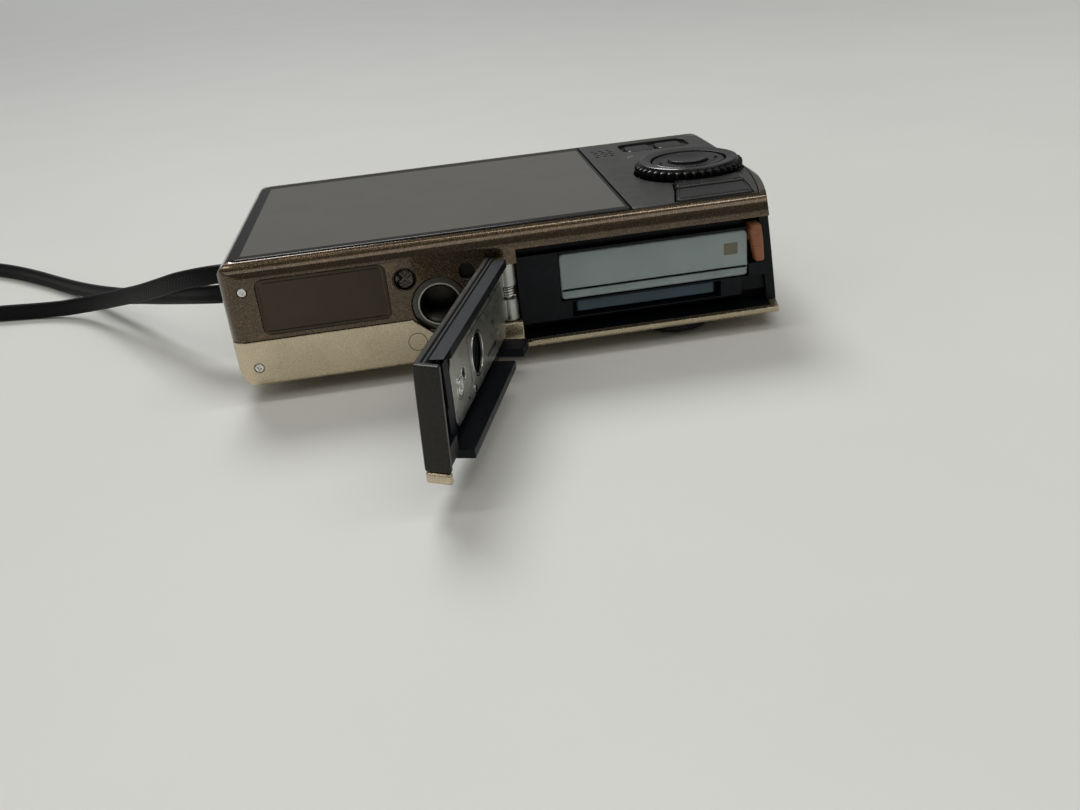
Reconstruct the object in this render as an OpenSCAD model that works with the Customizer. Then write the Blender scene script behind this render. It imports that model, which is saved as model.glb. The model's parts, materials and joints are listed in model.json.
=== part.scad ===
// Compact digital camera, lying on its front with the screen up and the battery door open.
// X runs along the body (grip side at +X), Y from the bottom face to the top face, Z up to the screen.
// Modules draw with Y = 0 on the bottom face; seat() moves them so that the origin is under the middle.

/* [Body] */
// Width of the body, left side to the crown of the grip side
body_w = 93.8; // [93.4:0.1:94.2]
// Height of the body, bottom face to top face
body_h = 56.8; // [56.6:0.1:57.4]
// Thickness from the front plate to the back plate
body_t = 21; // [20.9:0.1:21.3]
// Height of the lens ring and the finger grip above the front plate
stand_off = 2.6; // [2.4:0.1:2.8]
// Wall thickness of the two covers
wall = 1.2; // [1.1:0.05:1.25]
// Radius of the large curve of the grip side
grip_r = 105; // [100:1:110]
// Lean of the grip side's curve, in degrees
grip_lean = 24; // [22:1:26]

/* [Door] */
// Angle that the battery door is open by
door_open = 107.4; // [90:0.1:110]
// Travel of the door's unlocking slide
door_travel = 2; // [1.8:0.1:2.2]
// Depth of the door's end wall around the grip side
door_wrap = 3.7; // [3:0.1:3.8]

/* [Battery and card] */
// Width of the battery
battery_w = 32; // [31.6:0.1:32]
// Length of the battery
battery_l = 44.9; // [44:0.1:45.2]
// Thickness of the battery
battery_t = 7.9; // [7.6:0.1:8]
// Width of the memory card
card_w = 24; // [23.8:0.1:24.1]
// Length of the memory card
card_l = 32; // [31.6:0.1:32.2]
// Thickness of the memory card
card_t = 2.1; // [2:0.05:2.15]

/* [Controls] */
// Radius over the knurls of the control dial
dial_r = 9.7; // [9.4:0.1:9.9]
// Number of knurls around the dial
knurls = 40; // [30:1:44]
// Radius of the middle button
set_r = 3.5; // [3.2:0.1:3.7]
// Radius of the zoom lever
lever_r = 7.2; // [6.6:0.1:7.6]

/* [Lens and sockets] */
// Radius of the ring around the lens
lens_ring_r = 21.5; // [20:0.1:22]
// Radius of the bore in the tripod socket
tripod_r = 3.2; // [3.15:0.05:3.25]

/* [Wrist strap] */
// Width of the strap, which stands on its edge
strap_w = 3.4; // [3:0.1:3.5]
// Thickness of the strap
strap_t = 1.6; // [1.2:0.1:1.8]

/* [Hidden] */
$fn = 96;

// Main planes of the body
half_w = body_w / 2;
front_z = stand_off;
back_z = front_z + body_t;
mid_z = front_z + body_t / 2;
pocket_z = back_z - 1.3;
floor_z = back_z - 2.2;
mid_y = 7.6;
big = 200;
gap = 0.1;

// Corner radii of the body in its three outlines: near or front first, going round
plan_r = [3, 1.5, 9, 6];
side_r = [4, 1.5, 3, 3];
end_r = [1.3, 2, 3, 3];
grip_y = 31;
// Radius of the grip side as a level cut shows it, used for the control panel's edge
panel_r = grip_r / pow(cos(grip_lean), 2);

// Join between the two covers: height at the left, by the tripod socket, and along the bay
seam_left = 10.5;
seam_mid = 7.6;
seam_bay = 3.95;
bay_top = 19.9;
bay_x = 0.25;
bay_cut_y = 3.85;

// Screen and control panel on the back
glass = [-45, 2, 19.8, 53.6];
glass_corners = [1.9, 0.5, 0.5, 1.9];
active = [-43, 3.8, 19.2, 51.2];
panel_x = 20.1;
dial = [35.2, 23.3];
lamp = [27.9, 39.1];
speaker_at = [23.6, 45.2];
button_gap = 0.15;

// Lens axis and the radii of its nested tubes
lens = [-17, 28.4];
housing_r = 16.8;
outer_r = 14.8;
inner_r = 13.2;
mouth_r = 5.6;
blade_gap = 0.03;
// Lens ring: bore, outer chamfer, and gap to the front plate
ring_bore = 15.3;
ring_edge = 1.2;
ring_lift = 0.1;

// Parts on the bottom face, as [x, z]
tripod = [-12.8, 12.65];
flange_r = 4.45;
socket_screw_at = [-17.8, 17.5];
screw_well_r = 1.85;
spare_hole = [-7.8, 17.5];
corner_screws = [[-43.2, 18.9], [-43.2, 6]];
label = [-41.1, 11.4, -20.7, 20.5];

// Battery, card and bay
bay_face = 2.6;
bay_end = 49.8;
bay_z = [4.05, 18.5];
slack = 0.15;
bay_left = 3;
bay_rim = 4.6;
// Block that holds the hinge pin, around the notch
hinge_block_y = [1.4, 8];
hinge_block_wall = 0.7;
battery_x = 7.4;
battery_y = 2.8;
battery_z = 9.35;
tray_t = 1.45;
card_x = 9.8;
card_y = 3.4;
card_z = 6.75;
latch_x = 39.45;

// Door's hinge pin as [x, y], unlocked and locked: it slides in slots in the bay's frame
hinge = [-1.5, 2.2];
pin_locked = [hinge[0] - door_travel, hinge[1]];
knuckle_r = 1.45;
pin_r = 0.6;
pin_z = [7, 18.2];
fit = 0.05;
// Heights of the bracket's two knuckles, and of the notch that they turn in
knuckle_z = [7.75, 11.4, 13.6, 17.45];
notch_z = [7.6, 17.6];
notch_x = pin_locked[0] - knuckle_r - 0.2;
notch_depth = 4.4;

// Layers through the closed door, from its outer face
door_skin = 1;
door_floor = 1.5;
plate_y = [1.9, 2.2];
door_z = [4.05, 19.75];
trim_z = 5.6;
door_hole = [19.9, 11.6];
door_screw = [30.6, 11.2];
door_rivet = [23.5, 7.5];
door_hole_r = 3;
door_thread_r = 0.6;
// Blocks of the door's frame as [low, high]: floor, two rails along the top edge, skirt and its
// root, rib at the end, hook, and the two seats under the plate
door_blocks = [
    [[0.6, 0, 4.2], [big, door_floor, 19.6]],
    [[1, 0, 18.1], [40, 3.5, 19.4]],
    [[1, 0, 16.9], [36, 2, 17.7]],
    [[9.5, 0, 4.3], [38, 5.2, 5.7]],
    [[0.6, 0, 4.3], [5, 5.6, 5.7]],
    [[34.6, 0, 6.2], [37.4, 2.2, 17.4]],
    [[39.6, 0, 6.2], [big, 3.6, 8.8]],
    [[14, 0, 6.6], [34.4, plate_y[0], 8.1]],
    [[14, 0, 15.6], [34.4, plate_y[0], 16.8]]];

// Top face controls, as [x, z]
shutter = [30, 13.1];
power = [12, 13.1];
mode_x = 2;

// Window in the grip side for the terminals: y from, y to, z from, z to
port = [30, 45, 8, 17];

// Strap: middle of the lug, and the route of the band, chosen by hand
lug = [-45.4, 22.3, 14.2];
strap_route = [
    [-46.9, 22.3, 16], [-51, 22.8, 15.9], [-55, 24.6, 15.3], [-59.5, 28.1, 14], [-64, 32.6, 12.1],
    [-69.5, 39, 9.6], [-75, 45.8, 7.3], [-81, 52.4, 5], [-87, 57.6, 3.2], [-93, 60.8, 2.1],
    [-99, 62.6, 1.8], [-106, 64, 1.8], [-114, 65.2, 1.8], [-123, 66.6, 1.8], [-132, 68.6, 1.8],
    [-141, 71.6, 1.8], [-149, 76.2, 1.8], [-155, 82.6, 1.8], [-158, 90.6, 1.8], [-157, 99, 1.8],
    [-152, 106, 1.8], [-144.6, 110, 1.8], [-136, 110.4, 1.8], [-128, 107.4, 1.8],
    [-120, 101.6, 1.8], [-113, 95.6, 1.8], [-106, 88.6, 1.8], [-99.6, 81.6, 1.8],
    [-92.8, 73.6, 2.2], [-85.8, 64.8, 3.2], [-77.6, 54.6, 4.8], [-72.8, 48.5, 6.2],
    [-66.6, 40, 8.2], [-60.8, 32.5, 10], [-55.8, 26.6, 11.4], [-51.4, 23.2, 12.1],
    [-46.9, 22.3, 12.4]];

// ---- helpers ----

module seat() {
    translate([0, -mid_y, 0]) children();
}

// Extrudes an outline drawn in X and Z along Y, from y0 to y1
module along_y(y0, y1) {
    translate([0, y1, 0]) rotate([90, 0, 0]) linear_extrude(y1 - y0) children();
}

// Extrudes an outline drawn in Y and Z along X, from x0 to x1
module along_x(x0, x1) {
    translate([x0, 0, 0]) rotate([90, 0, 90]) linear_extrude(x1 - x0) children();
}

// Extrudes a plan outline from z0 to z1
module along_z(z0, z1) {
    translate([0, 0, z0]) linear_extrude(z1 - z0) children();
}

// Rectangle with a true arc in each corner; r goes round from the low corner
module round_rect(x0, y0, x1, y1, r) {
    polygon([
        [x0 + r[0], y0], [x1 - r[1], y0], [x1, y0 + r[1]], [x1, y1 - r[2]],
        [x1 - r[2], y1], [x0 + r[3], y1], [x0, y1 - r[3]], [x0, y0 + r[0]]]);
    translate([x0 + r[0], y0 + r[0]]) circle(r[0]);
    translate([x1 - r[1], y0 + r[1]]) circle(r[1]);
    translate([x1 - r[2], y1 - r[2]]) circle(r[2]);
    translate([x0 + r[3], y1 - r[3]]) circle(r[3]);
}

module soft_rect(x0, y0, x1, y1, r) {
    round_rect(x0, y0, x1, y1, [r, r, r, r]);
}

module box(low, high) {
    translate(low) cube(high - low);
}

// Cylinder along Y at [x, z], from y0 to y1
module rod_y(at, r, y0, y1) {
    translate([at[0], y1, at[1]]) rotate([90, 0, 0]) cylinder(r = r, h = y1 - y0);
}

// Cylinder along Z at [x, y], from z0 to z1
module rod_z(at, r, z0, z1) {
    translate([at[0], at[1], z0]) cylinder(r = r, h = z1 - z0);
}

module tube_z(at, r_out, r_in, z0, z1) {
    difference() {
        rod_z(at, r_out, z0, z1);
        rod_z(at, r_in, z0 - 1, z1 + 1);
    }
}

// Radii less an inset, never sharp
function less(r, i) = [for (v = r) max(v - i, 0.4)];

// The camera's outer form, moved in by i on every side
module body_form(i) {
    intersection() {
        along_z(front_z + i, back_z - i)
            round_rect(-half_w + i, i, half_w - i, body_h - i, less(plan_r, i));
        along_y(i, body_h - i)
            round_rect(-half_w + i, front_z + i, half_w - i, back_z - i, less(side_r, i));
        along_x(-half_w + i, half_w - i)
            round_rect(i, front_z + i, body_h - i, back_z - i, less(end_r, i));
        translate([half_w - grip_r, grip_y, mid_z])
            rotate([-grip_lean, 0, 0])
                cylinder(r = grip_r - i, h = 80, center = true, $fn = 360);
    }
}

module shell() {
    difference() {
        body_form(0);
        intersection() {
            body_form(wall);
            box([-big, -big, 0], [big, big, floor_z]);
        }
    }
}

// Area in front of the join between the covers, raised by e
module seam_outline(e) {
    polygon([
        [-big, -big], [-big, seam_left + e], [-17.6, seam_left + e], [-14.2, seam_mid + e],
        [bay_x, seam_mid + e], [bay_x, seam_bay + e], [big, seam_bay + e], [big, -big]]);
}

// Outline of the control panel's seat on the back
module control_outline(i) {
    intersection() {
        round_rect(panel_x + i, glass[1] + i, 46 - i, glass[3] - i, [0.4, 1.6, 6, 0.4]);
        translate([half_w - panel_r, grip_y + 4.4]) circle(panel_r - 1.3 - i, $fn = 360);
    }
}

// The two stacked buttons below the dial, between the heights y0 and y1
module stacked_outline(y0, y1, i) {
    difference() {
        intersection() {
            polygon([
                [27.1 + i, 2.4], [28.9 + i, 9.3], [30.3 + i, 16.6],
                [42.2 - i, 16.6], [41.5 - i, 9.3], [40.5 - i, 2.4]]);
            translate([20, y0 + i]) square([30, y1 - y0 - 2 * i]);
        }
        translate(dial) circle(dial_r + 0.7 + i);
    }
}

module recess_outline() {
    soft_rect(27.6, 43.4, 41.4, 51.4, 2);
}

// ---- covers ----

module front_cover() {
    color([0.80, 0.76, 0.65]) seat() difference() {
        intersection() {
            shell();
            along_y(-1, body_h + 1) seam_outline(0);
        }
        rod_z(lens, housing_r + gap, 0, front_z + 3);
        rod_y(tripod, flange_r + gap, -1, 9);
        rod_y(corner_screws[1], 0.8, -1, 4);
        along_z(0, front_z + 3) soft_rect(6.1, 50.5, 17.9, 54.5, 0.8);
        rod_z([1.5, 51.5], 1.9, 0, front_z + 3);
        for (x = [-38, -36, -34])
            rod_z([x, 52], 0.35, 0, front_z + 3);
    }
}

module rear_cover() {
    color([0.30, 0.24, 0.19]) seat() difference() {
        intersection() {
            shell();
            difference() {
                box([-big, -1, 0], [big, body_h + 1, big]);
                along_y(-2, body_h + 2) seam_outline(0.12);
            }
        }
        along_z(pocket_z, big)
            round_rect(glass[0] - gap, glass[1] - gap, panel_x + 0.2, glass[3] + gap, glass_corners);
        along_z(pocket_z, big) control_outline(-gap);
        along_z(0, big) soft_rect(active[0], active[1], active[2], active[3], 1);
        along_z(floor_z - 1, big) control_outline(1.5);
        along_z(floor_z - 1, big) stacked_outline(2, 16.6, 0);
        rod_z(dial, dial_r + 0.2, pocket_z, big);
        box([bay_x, -1, seam_bay], [big, bay_cut_y, bay_top]);
        box([notch_x - gap, -1, notch_z[0]], [bay_x + 1, 6, notch_z[1]]);
        along_y(-1, 0.25) soft_rect(label[0], label[1], label[2], label[3], 1.2);
        rod_y(tripod, flange_r + gap, -1, 9);
        rod_y(socket_screw_at, screw_well_r, -1, 3);
        rod_y(spare_hole, 1.3, -1, 3);
        rod_y(corner_screws[0], 0.8, -1, 4);
        box([-big, lug[1] - 4, lug[2] - 3.8], [-45, lug[1] + 4, lug[2] + 3.8]);
        rod_y(shutter, 4.55, 50, big);
        rod_y(power, 2.35, 50, big);
        box([mode_x - 4.2, 50, 11.7], [mode_x + 4.2, 60, 14.5]);
        box([42, port[0], port[2]], [big, port[1], port[3]]);
    }
}

module finger_grip() {
    color([0.08, 0.08, 0.09]) seat() intersection() {
        along_z(0, front_z) soft_rect(22, 3, 34, 51, 5.5);
        along_y(0, body_h) round_rect(22, 0, 34, front_z + 2, [2, 2, 0.4, 0.4]);
    }
}

module label_plate() {
    color([0.27, 0.22, 0.18]) seat() along_y(0.05, 0.24)
        soft_rect(label[0] + 0.15, label[1] + 0.15, label[2] - 0.15, label[3] - 0.15, 1);
}

// Two small machine screws at the left end of the bottom face
module case_screws() {
    color([0.85, 0.84, 0.82]) seat() for (at = corner_screws) {
        difference() {
            union() {
                rod_y(at, 0.75, 0.05, 0.7);
                rod_y(at, 0.45, 0.7, 3.2);
            }
            translate([at[0], 0.2, at[1]]) {
                cube([0.9, 0.4, 0.2], center = true);
                cube([0.2, 0.4, 0.9], center = true);
            }
        }
    }
}

module socket_screw() {
    color([0.20, 0.17, 0.15]) seat() difference() {
        union() {
            rod_y(socket_screw_at, screw_well_r - gap, 0.3, 1.2);
            rod_y(socket_screw_at, 0.9, 1.2, 6);
        }
        translate([socket_screw_at[0], 0.5, socket_screw_at[1]]) rotate([0, 35, 0]) {
            cube([2.2, 0.8, 0.45], center = true);
            cube([0.45, 0.8, 2.2], center = true);
        }
    }
}

module tripod_socket() {
    color([0.55, 0.54, 0.52]) seat() difference() {
        rod_y(tripod, flange_r, 0.05, 8.5);
        rod_y(tripod, tripod_r, -1, 6.5);
    }
}

// ---- inside frame ----

module battery_bay() {
    color([0.07, 0.10, 0.15]) seat() difference() {
        intersection() {
            body_form(wall + slack);
            union() {
                box([bay_left, bay_face, bay_z[0]], [big, bay_end, bay_z[1]]);
                box([bay_x + gap, bay_face, bay_z[0]], [big, bay_rim, bay_top - fit]);
                box([bay_x - 1, bay_face, notch_z[0] - hinge_block_wall], [bay_left * 2, 9, bay_z[1]]);
                box([notch_x - 0.5, hinge_block_y[0], notch_z[0] - hinge_block_wall],
                    [bay_x, hinge_block_y[1], notch_z[1] + hinge_block_wall]);
            }
        }
        // pocket for the hinge knuckles, with a slot in each end for the pin
        box([notch_x, -1, notch_z[0]], [bay_x, notch_depth, notch_z[1]]);
        for (x = [pin_locked[0], hinge[0]])
            rod_z([x, hinge[1]], pin_r + fit, 0, big);
        box([pin_locked[0], hinge[1] - pin_r - fit, 0], [hinge[0], hinge[1] + pin_r + fit, big]);
        // battery, its latch and its contacts
        box([battery_x - slack, 0, battery_z - slack],
            [battery_x + battery_w + slack, 48.4, battery_z + battery_t + slack]);
        box([latch_x - slack, 0, 11.4], [latch_x + 2.35, 9, 18.8]);
        box([latch_x, 0, 11.4], [43.2, 4.2, 18.8]);
        // memory card
        box([card_x - gap, 0, card_z - gap], [card_x + card_w + gap, 39, card_z + card_t + gap]);
        box([card_x - 0.8, 0, card_z - 0.5], [card_x + card_w + 0.8, 5, card_z + card_t + gap]);
        // grooves for the door's rails, skirt and hooks
        box([bay_x, 0, 17.8], [big, 4.2, big]);
        box([bay_x, 0, 0], [big, 6.6, 6.05]);
        box([38.2, 0, 5.9], [big, 4.4, 9.1]);
        // terminals on the grip side
        box([40.4, port[0] - 0.6, port[2] - 0.6], [big, port[1] + 0.6, port[3] + 0.6]);
    }
}

module hinge_pin() {
    color([0.8, 0.8, 0.8]) seat() rod_z(hinge, pin_r, pin_z[0], pin_z[1]);
}

// Open coil round the pin, between the knuckles
module hinge_spring() {
    color([0.9, 0.9, 0.88]) seat() for (i = [0 : 3])
        translate([hinge[0], hinge[1], 11.75 + i * 0.5])
            rotate_extrude() translate([1.02, 0]) circle(0.2, $fn = 24);
}

module strap_lug() {
    color([0.62, 0.61, 0.60]) seat() {
        difference() {
            box([-46.1, lug[1] - 3.9, lug[2] - 3.5], [-43.6, lug[1] + 3.9, lug[2] + 3.5]);
            box([-50, lug[1] - 3.1, lug[2] - 3.1], [-44.2, lug[1] + 3.1, lug[2] + 3.1]);
        }
        rod_z([lug[0], lug[1]], 0.5, lug[2] - 3.3, lug[2] + 3.3);
    }
}

// Folded end of the strap round the lug's bar
module strap_end() {
    color([0.04, 0.04, 0.045]) seat() difference() {
        along_z(lug[2] - 3, lug[2] + 3) soft_rect(-46.9, lug[1] - 1.1, -44.4, lug[1] + 1.1, 0.6);
        rod_z([lug[0], lug[1]], 0.55, 0, big);
        box([-50, 0, lug[2] - 0.3], [-46.2, 50, lug[2] + 0.3]);
    }
}

// ---- lens ----

module lens_ring() {
    color([0.70, 0.66, 0.56]) seat() translate([lens[0], lens[1], 0]) rotate_extrude() polygon([
        [ring_bore, 0], [lens_ring_r - ring_edge, 0], [lens_ring_r, ring_edge],
        [lens_ring_r, front_z - ring_lift], [ring_bore, front_z - ring_lift]]);
}

module lens_housing() {
    color([0.10, 0.10, 0.11]) seat() difference() {
        rod_z(lens, housing_r, front_z + 0.05, 19.2);
        rod_z(lens, outer_r + 2 * fit, -1, 17);
        along_z(16, 18.2) translate([lens[0] - 7, lens[1] - 5.5]) square([14, 11]);
    }
}

module outer_barrel() {
    color([0.62, 0.59, 0.52]) seat() tube_z(lens, outer_r, inner_r + fit, 0.5, 13);
}

module inner_barrel() {
    color([0.70, 0.68, 0.62]) seat() difference() {
        rod_z(lens, inner_r, 0.3, 12.6);
        rod_z(lens, mouth_r, -1, 1.2);
        rod_z(lens, inner_r - 0.6, 0.9, 1.8);
        rod_z(lens, 8.2, 1.7, 6.6);
        rod_z(lens, 7, 6.5, 13);
    }
}

module front_lens() {
    color([0.35, 0.40, 0.55, 0.6]) seat() intersection() {
        rod_z(lens, 8.15, 2.2, 6.4);
        translate([lens[0], lens[1], 15.4]) sphere(r = 13);
    }
}

module blade(side) {
    color([0.12, 0.12, 0.13]) seat() intersection() {
        rod_z(lens, 6.3, 1.1, 1.5);
        translate([lens[0], lens[1] + side * (5 + blade_gap), 1]) cube([20, 10, 4], center = true);
    }
}

module upper_blade() {
    blade(1);
}

module lower_blade() {
    blade(-1);
}

module image_sensor() {
    color([0.15, 0.30, 0.25]) seat()
        box([lens[0] - 6.8, lens[1] - 5.3, 17.1], [lens[0] + 6.8, lens[1] + 5.3, 18.15]);
}

module zoom_motor() {
    color([0.7, 0.7, 0.68]) seat() {
        rod_y([-40.5, 9], 3.2, 43, 53);
        rod_y([-40.5, 9], 0.6, 41.6, 43);
    }
}

// ---- front plate fittings ----

module flash_window() {
    color([0.9, 0.9, 0.88, 0.5]) seat() along_z(front_z + 0.05, front_z + wall)
        soft_rect(6.2, 50.6, 17.8, 54.4, 0.7);
}

module flash_tube() {
    color([0.8, 0.8, 0.82]) seat() difference() {
        box([6.5, 50.7, 4], [17.5, 54.3, 9.4]);
        translate([0, 52.5, 3.6]) rotate([0, 90, 0]) rod_z([0, 0], 1.5, 7, 17);
        box([7, 51, 3], [17, 54, 5]);
    }
}

module flash_capacitor() {
    color([0.10, 0.10, 0.12]) seat() rod_y([-40.2, 11.4], 4.4, 27.5, 41);
}

module focus_lamp() {
    color([0.9, 0.55, 0.3, 0.6]) seat() rod_z([1.5, 51.5], 1.8, front_z + 0.05, 5);
}

// ---- back: screen and controls ----

module screen_window() {
    color([0.20, 0.20, 0.21]) seat() along_z(pocket_z + 0.05, back_z)
        round_rect(glass[0], glass[1], glass[2], glass[3], glass_corners);
}

module screen_panel() {
    color([0.30, 0.30, 0.30]) seat() along_z(bay_top + fit, pocket_z)
        soft_rect(active[0] + gap, active[1] + gap, active[2] - gap, active[3] - gap, 0.9);
}

module control_panel() {
    color([0.17, 0.17, 0.18]) seat() difference() {
        intersection() {
            along_z(pocket_z + 0.05, back_z) control_outline(0);
            body_form(0);
        }
        rod_z(dial, dial_r + 0.2, 0, big);
        along_z(0, big) stacked_outline(2, 16.6, 0);
        along_z(back_z - 0.8, big) recess_outline();
        along_z(0, big) soft_rect(28.6, 44.6, 34.1, 50.2, 1.2);
        along_z(0, big) soft_rect(34.9, 44.6, 40.4, 50.2, 1.2);
        rod_z(lamp, 0.75, 0, big);
        for (i = [-1 : 1], j = [-2 : 2])
            rod_z(speaker_at + [i * 1.5 + (j % 2 == 0 ? 0 : 0.5), j * 1.35], 0.4, 0, big);
    }
}

module speaker() {
    color([0.12, 0.12, 0.12]) seat() along_z(18.7, 21.2) soft_rect(20.4, 41.2, 27, 49.2, 1);
}

module main_board() {
    color([0.10, 0.32, 0.18]) seat() {
        difference() {
            intersection() {
                box([20.4, 4.8, 19.8], [60, 49.4, 20.8]);
                body_form(wall + 0.3);
            }
            box([0, 40.8, 0], [27.4, 60, 40]);
        }
        box([22, 8, 18.8], [33, 19, 19.8]);
        box([22, 24, 19], [30, 34, 19.8]);
        box([33, 30, 18.9], [40, 38, 19.8]);
    }
}

module dial_mount() {
    color([0.14, 0.14, 0.15]) seat() difference() {
        rod_z(dial, 6.6, 21, 22.2);
        rod_z(dial, set_r - 1, 0, big);
    }
}

module control_dial() {
    color([0.10, 0.10, 0.11]) seat() difference() {
        union() {
            rod_z(dial, dial_r - 0.55, 22.35, back_z + 2);
            for (i = [0 : knurls - 1])
                translate([dial[0], dial[1], 0]) rotate([0, 0, i * 360 / knurls])
                    rod_z([dial_r - 0.5, 0], 0.5, back_z + 0.15, back_z + 1.7);
        }
        rod_z(dial, 6.7, 0, big);
    }
}

module direction_pad() {
    color([0.13, 0.13, 0.14]) seat() tube_z(dial, 6.6, set_r + 0.1, 22.6, back_z + 1.8);
}

module set_button() {
    color([0.16, 0.16, 0.17]) seat() rod_z(dial, set_r, 22.6, back_z + 2.1);
}

module menu_button() {
    color([0.15, 0.15, 0.16]) seat() along_z(21.3, back_z + 0.35)
        stacked_outline(9.2, 16.6, button_gap);
}

module display_button() {
    color([0.15, 0.15, 0.16]) seat() along_z(21.3, back_z + 0.25)
        stacked_outline(2, 9.2, button_gap);
}

module playback_button() {
    color([0.12, 0.12, 0.13]) seat() along_z(21.3, back_z - 0.2)
        soft_rect(28.75, 44.75, 33.95, 50.05, 1.05);
}

module print_button() {
    color([0.12, 0.12, 0.13]) seat() along_z(21.3, back_z - 0.2)
        soft_rect(35.05, 44.75, 40.25, 50.05, 1.05);
}

module indicator_lamp() {
    color([0.5, 0.6, 0.5]) seat() rod_z(lamp, 0.7, 21.5, back_z + 0.05);
}

// ---- top face controls ----

module shutter_collar() {
    color([0.5, 0.48, 0.45]) seat() difference() {
        rod_y(shutter, 4.5, 53.5, 57.9);
        rod_y(shutter, 3.9, 50, big);
    }
}

module shutter_button() {
    color([0.8, 0.78, 0.74]) seat() rod_y(shutter, 3.85, 54, 58.6);
}

module zoom_lever() {
    color([0.6, 0.58, 0.54]) seat() difference() {
        union() {
            rod_y(shutter, lever_r, 56.95, 58.3);
            box([shutter[0] - 1.4, 56.95, shutter[1] - lever_r - 1.6],
                [shutter[0] + 1.4, 58.8, shutter[1] - lever_r + 0.8]);
        }
        rod_y(shutter, 4.5 + fit, 50, big);
    }
}

module power_button() {
    color([0.7, 0.68, 0.64]) seat() rod_y(power, 2.25, 54.6, 57.1);
}

module mode_switch() {
    color([0.14, 0.14, 0.14]) seat() {
        box([mode_x - 2, 54.8, 11.85], [mode_x + 2, 56.9, 14.35]);
        box([mode_x - 1.2, 56.9, 12.1], [mode_x + 1.2, 57.6, 14.1]);
    }
}

module terminal_block() {
    color([0.55, 0.55, 0.56]) seat() difference() {
        box([40.6, port[0] - 0.4, port[2] - 0.4], [44.2, port[1] + 0.4, port[3] + 0.4]);
        box([41.6, 31.4, 10.6], [60, 36.6, 13.4]);
        box([41.6, 38.4, 10], [60, 43.8, 14.6]);
    }
}

module terminal_cover() {
    color([0.28, 0.23, 0.19]) seat() intersection() {
        difference() {
            body_form(0);
            body_form(1);
        }
        box([42, port[0] + 0.12, port[2] + 0.12], [60, port[1] - 0.12, port[3] - 0.12]);
    }
}

// ---- battery and card ----

module battery_outline() {
    soft_rect(battery_x, battery_z, battery_x + battery_w, battery_z + battery_t, 0.8);
}

module battery_case() {
    color([0.66, 0.70, 0.70]) seat() difference() {
        intersection() {
            along_y(battery_y, battery_y + battery_l) battery_outline();
            box([0, 0, battery_z + tray_t + 0.06], [60, 60, 40]);
        }
        for (x = [11, 15.5, 20])
            box([x - 1.2, battery_y + battery_l - 0.5, 12], [x + 1.2, 60, 15]);
    }
}

module battery_tray() {
    color([0.70, 0.73, 0.72]) seat() intersection() {
        along_y(battery_y, battery_y + battery_l) battery_outline();
        box([0, 0, 0], [60, 60, battery_z + tray_t - 0.06]);
    }
}

module battery_terminals() {
    color([0.85, 0.68, 0.30]) seat() for (x = [11, 15.5, 20])
        box([x - 1.1, battery_y + battery_l - 0.45, 12.1], [x + 1.1, battery_y + battery_l - 0.1, 14.9]);
}

// Sprung fingers at the far end of the bay
module battery_contacts() {
    color([0.85, 0.68, 0.30]) seat() for (x = [11, 15.5, 20])
        box([x - 0.6, battery_y + battery_l + 0.15, 12.6], [x + 0.6, 48.35, 14.4]);
}

module battery_latch() {
    color([0.66, 0.36, 0.24]) seat() {
        along_y(1.7, 3.6) translate([latch_x, 0]) polygon([
            [0.05, 12.6], [0.45, 11.8], [1.95, 11.8], [2.35, 12.6], [2.35, 15.6], [2.05, 17.8],
            [1.45, 18.5], [0.45, 18.5], [0.05, 17.9]]);
        box([latch_x + 0.15, 3.6, 12.2], [latch_x + 0.95, 8.6, 18.2]);
    }
}

module memory_card() {
    color([0.30, 0.40, 0.48]) seat() difference() {
        along_z(card_z, card_z + card_t) polygon([
            [card_x, card_y], [card_x + card_w, card_y], [card_x + card_w, card_y + card_l - 4],
            [card_x + card_w - 4, card_y + card_l], [card_x, card_y + card_l]]);
        box([card_x - 1, card_y + 22, card_z + 0.7], [card_x + 0.7, card_y + 26, card_z + 5]);
    }
}

module card_connector() {
    color([0.75, 0.75, 0.74]) seat() {
        box([card_x, card_y + card_l + 0.2, card_z], [card_x + card_w, 38.9, card_z + card_t]);
    }
}

// ---- door ----

// Puts a closed, locked door's part in its place on the open, unlocked door
module door_place() {
    translate([hinge[0], hinge[1], 0]) rotate([0, 0, -door_open])
        translate([-pin_locked[0], -pin_locked[1], 0]) children();
}

module door_skin_form(z0, z1) {
    difference() {
        body_form(0);
        body_form(door_skin);
        box([-big, -big, 0], [bay_x + 0.1, big, big]);
        box([-big, door_wrap, 0], [big, big, big]);
        box([-big, -big, 0], [big, big, z0]);
        box([-big, -big, z1], [big, big, big]);
    }
}

module door_outer() {
    color([0.26, 0.22, 0.19]) seat() door_place() door_skin_form(trim_z + 0.12, door_z[1]);
}

module door_trim() {
    color([0.80, 0.76, 0.65]) seat() door_place() door_skin_form(door_z[0], trim_z);
}

// Black inner frame, with the fixed steel plate's seat, the rails, the skirt and the hooks
module door_frame() {
    color([0.07, 0.10, 0.14]) seat() door_place() difference() {
        intersection() {
            body_form(door_skin + 0.02);
            union() {
                for (b = door_blocks)
                    box(b[0], b[1]);
                rod_y(door_screw, 2, 0, plate_y[0]);
            }
        }
        rod_y(door_hole, door_hole_r, door_floor - 0.2, 10);
        rod_y(door_screw, door_thread_r, -1, 10);
        box([36.9, 0, 11.2], [big, 10, 19.3]);
    }
}

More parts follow.
